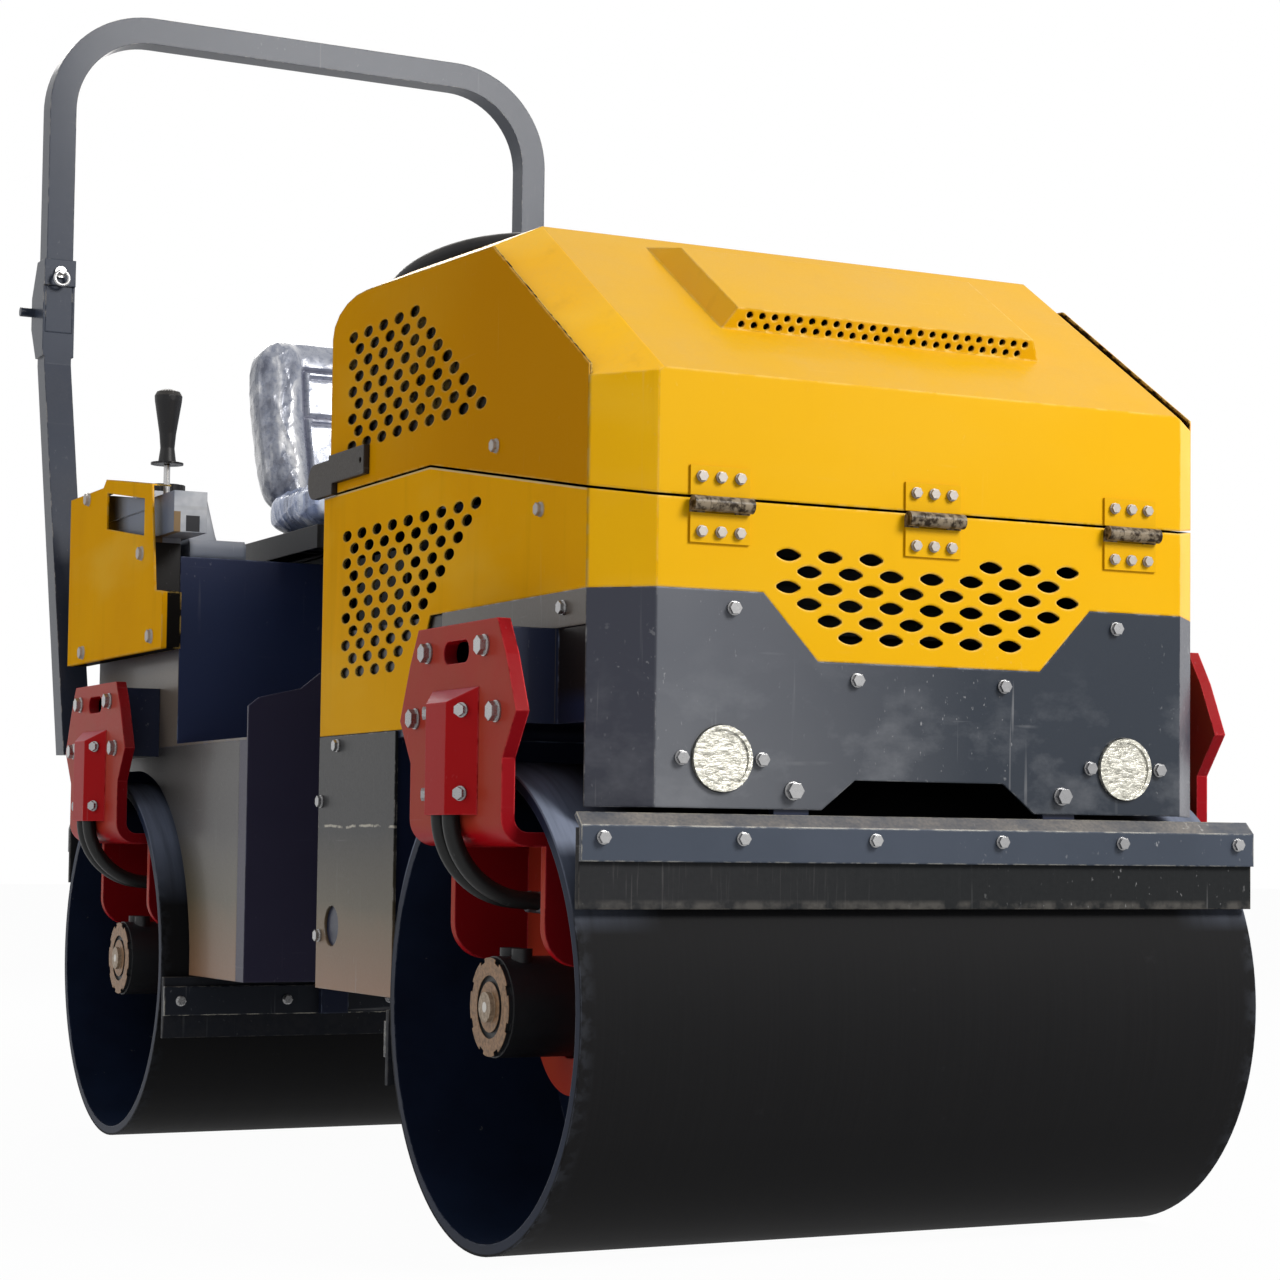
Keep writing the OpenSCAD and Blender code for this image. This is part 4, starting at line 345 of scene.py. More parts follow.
def hood_tint(tree, colour):
    """Grimy yellow outside with pale painted reflection, darker on the front faces by painted
    shade. Painted shade on faces turned towards the hood's own middle, and on the plates behind the
    side sheets."""
    coords = node(tree, "ShaderNodeTexCoord").outputs
    side = size(tree, split(tree, coords["Normal"])["X"])
    # Painted shade on the faces turned to the front.
    front = ramp(tree, side, 0.3, 0.15, 0.0, 0.85)
    outer = mix(tree, front, grime_tint(tree, colour), rgb(200, 151, 0))
    away = node(tree, "ShaderNodeVectorMath", {0: coords["Object"], 1: HOOD_MIDDLE},
                operation="SUBTRACT").outputs[0]
    outward = node(tree, "ShaderNodeVectorMath", {0: away, 1: coords["Normal"]},
                   operation="DOT_PRODUCT").outputs["Value"]
    # Painted shade on faces turned towards the hood's middle.
    outer = mix(tree, ramp(tree, outward, -0.03, -0.07), outer, rgb(24, 20, 10))
    across = size(tree, place(tree)["X"])
    behind = ramp(tree, across, PLATE_X + 0.0006, PLATE_X + 0.0004)
    return mix(tree, times(tree, behind, ramp(tree, side, 0.9, 0.95)), outer, rgb(22, 14, 8))


def off_hinge(tree):
    """Height above or below the hinges' middle."""
    return size(tree, less(tree, place(tree)["Z"], HINGE_Z))


def hinge_tint(tree, colour):
    """Knuckle browned by old grease, between enamelled leaves."""
    knuckle = ramp(tree, off_hinge(tree), 0.0098, 0.0092)
    stain = ramp(tree, noise(tree, here(tree), 130.0, 3.0), 0.42, 0.6)
    return mix(tree, knuckle, colour, mix(tree, stain, rgb(126, 114, 96), rgb(42, 33, 24)))


def hinge_studs(tree):
    """Screw heads stand in front of the leaves, away from the knuckle."""
    ahead = ramp(tree, place(tree)["Y"], LEAF_Y, LEAF_Y - 0.0003)
    return times(tree, ahead, ramp(tree, off_hinge(tree), 0.0098, 0.0102))


def box_tint(tree, colour):
    """Light from the ground on the low part of the box, and on its left side under the
    console."""
    height = wavy_height(tree, 0.02)
    low = mix(tree, ramp(tree, height, 0.62, 0.84, 0.75, 0.0), colour, rgb(54, 62, 92))
    side = ramp(tree, place(tree)["X"], 0.0005 - SHEET_X, 0.0002 - SHEET_X)
    share = times(tree, side, ramp(tree, height, 0.80, 0.74), 0.8)
    return mix(tree, share, low, rgb(112, 100, 82))


def apron_tint(tree, colour):
    """Painted light from the left over the apron's front and painted light low down, painted shade
    in its corners, warm sides, and whitish cloudy smears low down."""
    part = place(tree)
    across = size(tree, part["X"])
    smear = ramp(tree, streaks(tree, (9.0, 9.0, 14.0), 5.0, 0.62), 0.5, 0.72)
    patch = times(tree, smear, ramp(tree, part["Z"], 0.70, 0.60), 0.2)
    lit = mix(tree, ramp(tree, part["Z"], 0.68, 0.54, 0.0, 0.5), colour, rgb(98, 100, 104))
    lit = mix(tree, ramp(tree, part["X"], -0.32, 0.06, 0.0, 0.93), lit, rgb(18, 28, 40))
    # Painted shade in the outer corners.
    corner = times(tree, ramp(tree, across, 0.347, 0.351, 0.0, 0.8),
                   ramp(tree, across, SHEET_X - 0.0002, SHEET_X - 0.0004))
    lit = mix(tree, corner, lit, rgb(42, 44, 58))
    lit = mix(tree, ramp(tree, across, SHEET_X - 0.0004, SHEET_X - 0.0002), lit, rgb(76, 68, 58))
    return mix(tree, patch, lit, rgb(150, 152, 156))


def ground_light(tree, colour):
    """Light from the ground rising up a side plate, olive and then tan towards its foot."""
    height = wavy_height(tree, 0.03)
    tone = mix(tree, ramp(tree, height, 0.37, 0.50, 0.85, 0.0), colour, rgb(106, 96, 72))
    return mix(tree, ramp(tree, height, 0.28, 0.40, 0.9, 0.0), tone, rgb(150, 112, 84))


def frame_tint(tree, colour):
    """Side plates of the rear frame lit from the ground, and painted shade on the plates behind the
    vents.
    """
    part = place(tree)
    across = size(tree, part["X"])
    outer = band(tree, across, SHEET_X - 0.0002, SHEET_X + 0.0004, 0.0004)
    tone = mix(tree, outer, colour, ground_light(tree, rgb(70, 68, 66)))
    behind = times(tree, ramp(tree, across, PLATE_X - 0.0008, PLATE_X - 0.0005),
                   ramp(tree, across, PLATE_X + 0.0006, PLATE_X + 0.0004),
                   ramp(tree, part["Z"], 0.62, 0.64))
    return mix(tree, behind, tone, rgb(22, 16, 12))


def skirt_tint(tree, colour):
    """Ground light up the side plates, and a pale wrinkled line of filler across them."""
    part = place(tree)
    wander = times(tree, streaks(tree, (1.0, 22.0, 1.0), 4.0), 0.012)
    off = size(tree, less(tree, plus(tree, part["Z"], wander), 0.494))
    line = times(tree, ramp(tree, off, 0.0022, 0.0009),
                 ramp(tree, noise(tree, here(tree), 60.0, 3.0), 0.44, 0.56),
                 ramp(tree, part["Y"], 0.0, -0.02), 0.7)
    return mix(tree, line, ground_light(tree, colour), rgb(214, 206, 186))


def bar_tint(tree, colour):
    """Painted shade on the bars between the drums, which are darker than the outer ones."""
    away = size(tree, less(tree, place(tree)["Y"], JOINT_Y))
    return mix(tree, ramp(tree, away, 0.76, 0.75, 0.0, 0.85), colour, rgb(26, 29, 36))


def blade_tint(tree, colour):
    """Fine upright scratches on the rubber, less light to the right, and a pale worn lower
    edge."""
    part = place(tree)
    lines = streaks(tree, (300.0, 300.0, 12.0), 3.0, 0.6)
    marked = mix(tree, ramp(tree, lines, 0.6, 0.74, 0.0, 0.35), colour, rgb(84, 82, 82))
    marked = mix(tree, ramp(tree, part["X"], -0.35, 0.0, 0.0, 0.9), marked, rgb(12, 15, 17))
    foot = times(tree, ramp(tree, part["Z"], 0.408, 0.403, 0.0, 0.28),
                 ramp(tree, noise(tree, here(tree), 40.0, 4.0), 0.4, 0.6))
    return bar_tint(tree, mix(tree, foot, marked, rgb(112, 108, 102)))


def hanger_tint(tree, colour):
    """Painted shade on the faces turned to the front, and a painted reflection of the ground
    turning the broad side faces brick in patches, with clear red left at the edges.
    """
    turned = facing(tree)
    painted_dark = mix(tree, ramp(tree, turned["Y"], -0.3, -0.7, 0.0, 0.9), colour, rgb(126, 14, 22))
    film = times(tree, ramp(tree, size(tree, turned["X"]), 0.8, 0.98),
                 ramp(tree, noise(tree, here(tree), 11.0, 4.0), 0.3, 0.62, 0.6, 0.92))
    return mix(tree, film, painted_dark, rgb(168, 60, 38))


def cover_tint(tree, colour):
    """Painted reflection of the ground turning the outward face of a hose cover towards a duller
    brick red, and a painted pink highlight on its sloping top.
    """
    turned = facing(tree)
    faced = mix(tree, ramp(tree, size(tree, turned["X"]), 0.75, 0.95, 0.0, 0.8), colour,
                rgb(172, 30, 28))
    return mix(tree, ramp(tree, turned["Z"], 0.45, 0.6, 0.0, 0.7), faced, rgb(206, 112, 122))


def console_tint(tree, colour):
    """Grimy yellow with pale painted reflection, and painted shade on the inner part of the turned
    edge.
    """
    inner = ramp(tree, place(tree)["X"], 0.0075 - CONSOLE_X, 0.0085 - CONSOLE_X)
    return mix(tree, inner, grime_tint(tree, colour), rgb(26, 24, 22))


def hood_joint(tree, part, rise):
    """Height of the sloping joint between the hoods, raised from its own line by rise."""
    return ramp(tree, part["Y"], HOOD_CORNER_Y, HOOD_BREAK_Y, 0.8565 + rise, 0.9315 + rise)


def cream_line(tree):
    """One on the top edge of the lower hood just under the joint, where a painted highlight lies.
    """
    part = place(tree)
    under = less(tree, hood_joint(tree, part, 0.0), part["Z"])
    return times(tree, ramp(tree, under, 0.0026, 0.0018), ramp(tree, under, -0.001, -0.0005),
                 ramp(tree, part["Y"], HOOD_CORNER_Y - 0.011, HOOD_CORNER_Y + 0.009))


def side_tint(tree, colour):
    """Painted shade on the upper side, growing towards its front as it leans out of the light; a
    painted reflection of the ground paling the lower one towards its low rear corner; painted shade
    on the inner faces; and a painted highlight along the lower hood's top edge."""
    part = place(tree)
    above = ramp(tree, less(tree, part["Z"], hood_joint(tree, part, 0.0025)), -0.0005, 0.0005)
    painted_dark = times(tree, above, ramp(tree, part["Y"], -0.25, -0.75, 0.45, 0.95))
    shaded = mix(tree, painted_dark, hood_tint(tree, colour), rgb(206, 138, 4))
    pale = times(tree, ramp(tree, part["Z"], 0.86, 0.62, 0.0, 0.45),
                 ramp(tree, part["Y"], -0.75, -0.35))
    shaded = mix(tree, pale, shaded, rgb(246, 186, 60))
    inner = ramp(tree, size(tree, part["X"]), SHEET_X - 0.0012, SHEET_X - 0.0014)
    shaded = mix(tree, inner, shaded, rgb(20, 16, 10))
    return mix(tree, times(tree, cream_line(tree), 0.8), shaded, rgb(226, 206, 160))


def box_top_tint(tree, colour):
    """Tan front beside the cover, grey inward of it with a slot painted dark as shade, and painted
    shade on the outer side, black at its rear."""
    part = place(tree)
    mottle = ramp(tree, noise(tree, here(tree), 20.0, 3.0), 0.4, 0.6)
    grey = mix(tree, mottle, rgb(150, 155, 164), rgb(184, 187, 192))
    greyed = maths(tree, "MAXIMUM", ramp(tree, part["X"], -0.4365, -0.436),
                   ramp(tree, part["Z"], 0.968, 0.9685))
    slot = times(tree, band(tree, part["X"], -0.4275, -0.4065, 0.0005),
                 band(tree, part["Z"], 0.9385, 0.9625, 0.0005))
    front = mix(tree, slot, mix(tree, greyed, rgb(132, 108, 76), grey), rgb(34, 36, 42))
    outer = mix(tree, ramp(tree, part["Y"], 0.60, 0.64), rgb(84, 93, 110), rgb(20, 18, 18))
    upper = mix(tree, ramp(tree, facing(tree)["X"], -0.8, -0.9), front, outer)
    return mix(tree, ramp(tree, part["Z"], 0.929, 0.9285), upper, colour)


def lever_tint(tree, colour):
    """Black guard disc under the grip."""
    return mix(tree, ramp(tree, place(tree)["Z"], 1.056, 1.0565), colour, rgb(22, 22, 24))


# Finishes

# Yellow: the edge tone is a painted highlight, cream along the rounded edges.
YELLOW_LOOK = dict(tone=rgb(247, 186, 6), tone_two=rgb(240, 176, 8), rough=0.36, coat=0.05,
                   shine=0.07, grain=420.0, bump=0.12, edge_wear_and_highlight=rgb(236, 196, 104), bare_metal=0.0,
                   broken=0.42, radius=0.0045, dust=0.18, scuffs=0.10)
SIDE_LOOK = dict(YELLOW_LOOK, tone=rgb(246, 177, 9), tone_two=rgb(238, 167, 12), coat=0.02,
                 shine=0.0, dust=0.08)
# Hinge leaves: a darker yellow standing for the painted shade on the hood's front faces, with no
# edge tone.
HINGE_LOOK = dict(YELLOW_LOOK, tone=rgb(206, 156, 1), tone_two=rgb(200, 150, 2), radius=0.0008,
                  edge_wear_and_highlight=None)
DARK_LOOK = dict(rough=0.36, coat=0.12, coat_rough=0.12, grain=380.0, bump=0.12)
# Red: the edge tone is a painted highlight along the rounded rims.
RED_LOOK = dict(tone=rgb(186, 14, 24), tone_two=rgb(172, 12, 22), rough=0.34, coat=0.03,
                shine=0.03, grain=330.0, bump=0.14, edge_wear_and_highlight=rgb(226, 70, 74), bare_metal=0.0,
                broken=0.36, dust=0.12, scuffs=0.15)
BLACK_LOOK = dict(tone=rgb(24, 24, 26), tone_two=rgb(19, 19, 21), rough=0.42, shine=0.25,
                  grain=900.0, radius=0.002, dust=0.25, scuffs=0.25)
BRIGHT_LOOK = dict(tone=rgb(190, 190, 190), tone_two=rgb(165, 165, 168), rough=0.25, bump=0.06,
                   radius=0.001, dust=0.1, scuffs=0.3)

YELLOW = finish("hood_enamel", tint=hood_tint, **YELLOW_LOOK)
HOOD_SIDE = finish("hood_side_enamel", tint=side_tint, studs=side_studs(SHEET_X), **SIDE_LOOK)
CONSOLE = finish("console_enamel", tint=console_tint, studs=side_studs(CONSOLE_X), **SIDE_LOOK)
HINGE = finish("hinge_enamel", tint=hinge_tint, studs=hinge_studs, **HINGE_LOOK)
NAVY = finish("frame_enamel", rgb(30, 38, 62), rgb(24, 31, 54), shine=0.2, edge_wear_and_highlight=rgb(88, 98, 118),
              broken=0.47, dust=0.22, scuffs=0.25, tint=frame_tint, **DARK_LOOK)
GREY = finish("apron_enamel", rgb(84, 86, 92), rgb(75, 78, 85), shine=0.25,
              edge_wear_and_highlight=rgb(150, 150, 150), dust=0.25, scuffs=0.5, tint=apron_tint, **DARK_LOOK)
BULKHEAD = finish("bulkhead_enamel", rgb(60, 57, 76), rgb(53, 50, 70), shine=0.15,
                  edge_wear_and_highlight=rgb(74, 76, 96), broken=0.47, dust=0.2, scuffs=0.25,
                  **dict(DARK_LOOK, coat=0.1))
SIDE_GREY = finish("side_plate_enamel", rgb(36, 36, 37), rgb(30, 31, 33), rough=0.34, metal=0.1,
                   coat=0.05, shine=0.15, grain=360.0, bump=0.15, edge_wear_and_highlight=rgb(150, 146, 140),
                   scuffs=0.3, tint=skirt_tint)
BOX_BLUE = finish("seat_box_enamel", rgb(34, 46, 78), rgb(29, 40, 70), rough=0.34, coat=0.12,
                  shine=0.2, grain=380.0, bump=0.1, edge_wear_and_highlight=rgb(96, 106, 128), broken=0.47,
                  scuffs=0.25, tint=box_tint)
BAR_BLUE = finish("roll_bar_enamel", rgb(47, 54, 68), rgb(38, 45, 59), rough=0.36, coat=0.1,
                  shine=0.16, grain=400.0, bump=0.1, edge_wear_and_highlight=rgb(150, 146, 140), dust=0.2,
                  scuffs=0.25)
RED = finish("cover_enamel", tint=cover_tint, **RED_LOOK)
HANGER_RED = finish("hanger_enamel", tint=hanger_tint, **RED_LOOK)
ZINC = finish("zinc_plate", rgb(176, 176, 176), rgb(142, 142, 144), rough=0.28, metal=0.9,
              grain=260.0, bump=0.15, radius=0.0012, dust=0.12, scuffs=0.3)
BAR_GREY = finish("scraper_bar_enamel", rgb(60, 67, 79), rgb(51, 58, 69), rough=0.36, metal=0.1,
                  coat=0.08, shine=0.2, bump=0.14, edge_wear_and_highlight=rgb(190, 186, 172), broken=0.42,
                  dust=0.7, scuffs=0.6, tint=bar_tint)
BLADE = finish("scraper_rubber", rgb(29, 30, 32), rgb(23, 24, 26), rough=0.6, shine=0.15,
               grain=150.0, bump=0.4, edge_wear_and_highlight=rgb(96, 92, 86), bare_metal=0.0, broken=0.44,
               scuffs=0.5, tint=blade_tint)
RUBBER = finish("mount_rubber", rgb(26, 26, 27), rgb(20, 20, 21), rough=0.6, shine=0.2,
                grain=320.0, bump=0.3)
HANDLE = finish("handle_rubber", rgb(48, 40, 32), rgb(30, 27, 25), rough=0.5, shine=0.25,
                grain=420.0, bump=0.3, scuffs=0.3, radius=0.004)
HOSE = finish("hose_rubber", rgb(27, 28, 28), rgb(20, 21, 21), rough=0.45, shine=0.25,
              grain=700.0, bump=0.3, dust=0.15, scuffs=0.15, radius=0.001)
PLASTIC = finish("black_plastic", bump=0.3, edge_wear_and_highlight=rgb(60, 60, 62), bare_metal=0.0, **BLACK_LOOK)
CONTROL = finish("control_box_plastic", bump=0.2, tint=box_top_tint, **BLACK_LOOK)
TANK = finish("tank_plastic", rgb(196, 198, 202), rgb(172, 176, 182), rough=0.4, shine=0.3,
              grain=500.0, bump=0.15, radius=0.012, scuffs=0.25,
              tint=low_tone(0.925, 1.0, rgb(92, 100, 116), 0.9))
IRON = finish("cast_iron", rgb(92, 94, 98), rgb(72, 74, 78), rough=0.6, metal=0.3, shine=0.3,
              grain=220.0, bump=0.5, bump_depth=0.0008, dust=0.6)
STEEL = finish("drawn_steel", metal=0.95, **BRIGHT_LOOK)
LEVER = finish("lever_steel", metal=0.6, tint=lever_tint, **BRIGHT_LOOK)
HEAT_STEEL = finish("heated_steel", rgb(38, 26, 18), rgb(28, 22, 18), rough=0.6, metal=0.2,
                    shine=0.1, grain=120.0, bump=0.2, dust=0.1)
ENGINE = finish("engine_iron", rgb(30, 25, 22), rgb(24, 21, 20), rough=0.65, metal=0.1, shine=0.1,
                grain=220.0, bump=0.5, bump_depth=0.0008, dust=0.2)
CYLINDER = finish("cylinder_enamel", rgb(28, 29, 32), rough=0.3, coat=0.15, shine=0.25, dust=0.2)


def off_axle(tree, part, axle_y):
    """Distance from the line of a drum's axle."""
    y = less(tree, part["Y"], axle_y)
    z = less(tree, part["Z"], AXLE_Z)
    return maths(tree, "SQRT", plus(tree, times(tree, y, y), times(tree, z, z)))


def drum_finish(name, axle_y):
    """Rolled shell outside, painted dish inside, told apart by the distance from the axle. The
    shell has fine runs round the drum, rubbed brighter near its ends, a painted reflection of the
    sky in light blue-grey streaks over its top near the ends, and a painted highlight along the
    rounded edges."""
    made, tree = start(name)
    at, part = here(tree), place(tree)
    across = size(tree, part["X"])
    outside = ramp(tree, off_axle(tree, part, axle_y), 0.2765, 0.2775)
    runs = streaks(tree, (420.0, 3.0, 3.0), 3.0, 0.6)
    shell = mix(tree, ramp(tree, runs, 0.35, 0.7), rgb(20, 20, 21), rgb(23, 23, 24))
    spots = ramp(tree, noise(tree, at, 34.0, 5.0, 0.65), 0.66, 0.78, 0.0, 0.2)
    shell = mix(tree, spots, shell, rgb(52, 52, 54))
    rubbed = times(tree, ramp(tree, across, 0.425, 0.443),
                   ramp(tree, noise(tree, at, 60.0, 4.0), 0.45, 0.6), 0.2)
    shell = mix(tree, rubbed, shell, rgb(80, 84, 92))
    # Painted reflection of the sky: light blue-grey streaks over the top of the shell near its
    # ends.
    mottle = ramp(tree, streaks(tree, (70.0, 5.0, 5.0), 4.0, 0.6), 0.2, 0.6, 0.5, 1.0)
    upper = times(tree, ramp(tree, part["Z"], 0.37, 0.47), ramp(tree, across, 0.34, 0.40))
    shell = mix(tree, times(tree, upper, mottle, 0.8), shell, rgb(122, 130, 148))
    dish = mix(tree, ramp(tree, noise(tree, at, 6.0, 4.0), 0.4, 0.7), rgb(26, 36, 56),
               rgb(18, 25, 40))
    specks = ramp(tree, noise(tree, at, 90.0, 2.0), 0.74, 0.78, 0.0, 0.4)
    dish = mix(tree, specks, dish, rgb(120, 116, 108))
    edges = use(tree, EDGES, Radius=0.0025, Broken=0.44)
    # Painted highlight, light blue-grey, along the rounded edges.
    colour = mix(tree, times(tree, edges["Mask"], 0.6), mix(tree, outside, dish, shell),
                 rgb(112, 118, 132))
    grain = use(tree, GRAIN, Scale=260.0, Fine=0.4)
    height = plus(tree, grain["Height"], times(tree, runs, 1.5))
    coat_with(tree, {
        "Base Color": colour,
        "Roughness": plus(tree, ramp(tree, outside, 0.0, 1.0, 0.38, 0.62), times(tree, runs, 0.1)),
        "Normal": relief(tree, height, 0.08, 0.0004, edges["Normal"]),
        "Specular IOR Level": 0.06})
    return made


def motor_finish(name, axle_y):
    """Black cast body, with a bronze face and a pale boss at the outer end."""
    made, tree = start(name)
    at, part = here(tree), place(tree)
    radius = off_axle(tree, part, axle_y)
    face = ramp(tree, size(tree, part["X"]), 0.4303, 0.4306)
    speckle = ramp(tree, noise(tree, at, 160.0, 4.0, 0.7), 0.4, 0.62)
    bronze = mix(tree, speckle, rgb(150, 116, 84), rgb(112, 86, 62))
    pale = mix(tree, speckle, rgb(168, 150, 128), rgb(130, 112, 92))
    worn = mix(tree, ramp(tree, radius, 0.0182, 0.0178), bronze, pale)
    worn = mix(tree, ramp(tree, radius, 0.0065, 0.0055), worn, rgb(214, 210, 202))
    body = mix(tree, ramp(tree, noise(tree, at, 20.0, 4.0), 0.4, 0.7), rgb(24, 25, 28),
               rgb(17, 18, 20))
    grain = use(tree, GRAIN, Scale=340.0, Fine=0.5)["Height"]
    edges = use(tree, EDGES, Radius=0.0015, Broken=0.5)
    coat_with(tree, {
        "Base Color": mix(tree, face, body, worn),
        "Metallic": times(tree, face, 0.35),
        "Roughness": ramp(tree, grain, 0.2, 1.1, 0.36, 0.56),
        "Normal": relief(tree, grain, 0.3, 0.0005, edges["Normal"]),
        "Specular IOR Level": 0.35})
    return made


def film_finish(name, calm, glint, painted_dark, scale):
    """Clear packing film pulled over a pad: painted highlights on long ridges and small glints over
    a soft grey, painted dark blue reflection in the fold troughs and where the pad turns away at
    its rim, and painted shade along each sewn channel."""
    made, tree = start(name)
    at = here(tree)
    seam, rim, loose = (node(tree, "ShaderNodeAttribute", attribute_name=key).outputs["Fac"]
                        for key in ("channel", "rim", "loose"))
    bent = times(tree, noise(tree, at, 9.0, 2.0), 0.09)
    shift = node(tree, "ShaderNodeCombineXYZ", {"X": bent, "Y": bent}).outputs[0]
    shifted = node(tree, "ShaderNodeVectorMath", {0: at, 1: shift}, operation="ADD").outputs[0]
    drawn = node(tree, "ShaderNodeMapping", {"Vector": shifted, "Scale": (1.0, 1.0, 0.22)})
    fold = noise(tree, drawn.outputs["Vector"], scale, 4.0, 0.6)
    fine = noise(tree, at, scale * 6.0, 3.0)
    # Painted highlights: small glints, then the fold ridges; painted dark reflection in the troughs
    # and on the rim.
    colour = mix(tree, ramp(tree, fine, 0.3, 0.7, 0.0, 0.2), calm, glint)
    colour = mix(tree, times(tree, ramp(tree, fold, 0.5, 0.6), loose), colour, glint)
    colour = mix(tree, times(tree, ramp(tree, fold, 0.48, 0.38), loose, 0.75), colour, painted_dark)
    colour = mix(tree, times(tree, rim, ramp(tree, fold, 0.62, 0.42), 0.9), colour, painted_dark)
    # Painted shade along the sewn channels.
    colour = mix(tree, times(tree, seam, 0.8), colour, rgb(104, 106, 124))
    height = plus(tree, times(tree, fold, loose, 1.6), times(tree, fine, 0.12))
    coat_with(tree, {
        "Base Color": colour,
        "Roughness": ramp(tree, fine, 0.3, 0.7, 0.2, 0.4),
        "Normal": relief(tree, height, 0.5, 0.004),
        "Metallic": 0.2,
        "Coat Weight": 0.4,
        "Coat Roughness": 0.1})
    return made


def lamp_finish(name):
    """Lens under crumpled clear film: a silver mottle of small bright and dark flakes."""
    made, tree = start(name)
    drawn = node(tree, "ShaderNodeMapping", {"Vector": here(tree), "Scale": (1.0, 1.0, 2.2)})
    flake = noise(tree, drawn.outputs["Vector"], 120.0, 4.0, 0.65)
    coat_with(tree, {
        "Base Color": mix(tree, ramp(tree, flake, 0.34, 0.6), rgb(116, 114, 104),
                          rgb(208, 206, 194)),
        "Roughness": ramp(tree, flake, 0.3, 0.7, 0.3, 0.15),
        "Normal": relief(tree, flake, 0.8, 0.0015),
        "Metallic": 0.5,
        "Coat Weight": 0.8})
    return made


SEAT_FILM = film_finish("backrest_film", rgb(112, 118, 134), rgb(226, 226, 226), rgb(44, 50, 70),
                        17.0)
PAD_FILM = film_finish("cushion_film", rgb(150, 166, 204), rgb(226, 234, 250), rgb(58, 74, 108),
                       15.0)

DRESS = {
    YELLOW: ["upper_hood", "lower_hood_front"],
    HOOD_SIDE: ["upper_hood_sides", "lower_hood_sides"],
    CONSOLE: ["console_cover"],
    HINGE: ["hinge_lower_leaves", "hinge_upper_leaves"],
    NAVY: ["front_frame", "rear_frame", "center_yoke", "steering_tower"],
    GREY: ["front_apron"],
    SIDE_GREY: ["front_skirts"],
    BULKHEAD: ["rear_bulkhead"],
    BOX_BLUE: ["seat_box"],
    HANGER_RED: ["front_hangers", "rear_hangers"],
    RED: ["front_hose_covers", "rear_hose_covers"],
    BAR_BLUE: ["roll_bar_posts", "roll_bar_hoop"],
    ZINC: ["front_bolts", "rear_bolts", "lock_pin_left", "lock_pin_right"],
    BAR_GREY: ["front_scraper_bars", "rear_scraper_bars"],
    BLADE: ["front_scraper_blades", "rear_scraper_blades"],
    RUBBER: ["front_rubber_mounts", "rear_rubber_mounts"],
    HANDLE: ["latch_left", "latch_right"],
    PLASTIC: ["tank_cap", "lever_grip", "steering_wheel", "seat_rails",
              "seat_base", "fuel_tank", "battery", "radiator"],
    TANK: ["water_tank"],
    ENGINE: ["engine", "hydraulic_pump"],
    LEVER: ["travel_lever"],
    CONTROL: ["control_box"],
    STEEL: ["steering_rod", "front_eccentric", "rear_eccentric"],
    HEAT_STEEL: ["muffler"],
    HOSE: ["front_drum_hoses", "rear_drum_hoses"],
    CYLINDER: ["steering_cylinder"],
    lamp_finish("lens_in_film"): ["headlamps"],
    SEAT_FILM: ["seat_backrest"],
    PAD_FILM: ["seat_cushion"],
    drum_finish("front_drum_coat", AXLE_FRONT): ["front_drum"],
    drum_finish("rear_drum_coat", AXLE_REAR): ["rear_drum"],
    motor_finish("front_motor_coat", AXLE_FRONT): ["front_drum_motors"],
    motor_finish("rear_motor_coat", AXLE_REAR): ["rear_drum_motors"],
}


def dress_nodes():
    for material, names in DRESS.items():
        for name in names:
            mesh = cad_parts[name].data
            mesh.materials.clear()
            mesh.materials.append(material)


dress_nodes()


# New pieces

SHARP_FROM = math.radians(40.0)


def skin(name, grid, material):
    """Closed mesh over rings of points, with a face on the first ring and on the last."""
    rows, cols = grid.shape[:2]
    at = np.arange(rows * cols).reshape(rows, cols)
    ring = np.concatenate((at, at[:, :1]), axis=1)
    faces = np.stack((ring[:-1, :-1], ring[:-1, 1:], ring[1:, 1:], ring[1:, :-1]), -1)
    faces = faces.reshape(-1, 4).tolist() + [at[0, ::-1].tolist(), at[-1].tolist()]
    mesh = bpy.data.meshes.new(name)
    mesh.from_pydata(grid.reshape(-1, 3).tolist(), [], faces)
    shell = bmesh.new()
    shell.from_mesh(mesh)
    bmesh.ops.remove_doubles(shell, verts=shell.verts, dist=1e-6)
    bmesh.ops.recalc_face_normals(shell, faces=shell.faces)
    shell.to_mesh(mesh)
    shell.free()
    mesh.shade_smooth()
    mesh.set_sharp_from_angle(angle=SHARP_FROM)
    mesh.materials.append(material)
    piece = bpy.data.objects.new(name, mesh)
    bpy.context.scene.collection.objects.link(piece)
    return piece


def tube(name, route, radius, material, sides=20):
    """Circle carried along a route that lies square to y. radius is a number or one for each
    point. Ring point = route + radius (cos w y + sin w (tangent x y))."""
    tangent = np.gradient(route, axis=0)
    tangent /= np.linalg.norm(tangent, axis=1, keepdims=True)
    one = np.broadcast_to(np.array((0.0, 1.0, 0.0)), route.shape)
    two = np.cross(tangent, one)
    w = np.linspace(0.0, 2 * np.pi, sides, endpoint=False)[None, :, None]
    reach = np.broadcast_to(radius, len(route))[:, None, None]
    grid = route[:, None] + reach * (np.cos(w) * one[:, None] + np.sin(w) * two[:, None])
    return skin(name, grid, material)


def signed_power(value, power):
    """Power of the size, with the value's sign."""
    return np.sign(value) * np.abs(value) ** power


def smooth_step(value, low, high):
    """3 t^2 - 2 t^3, where t goes from 0 at low to 1 at high."""
    t = np.clip((value - low) / (high - low), 0.0, 1.0)
    return t * t * (3.0 - 2.0 * t)


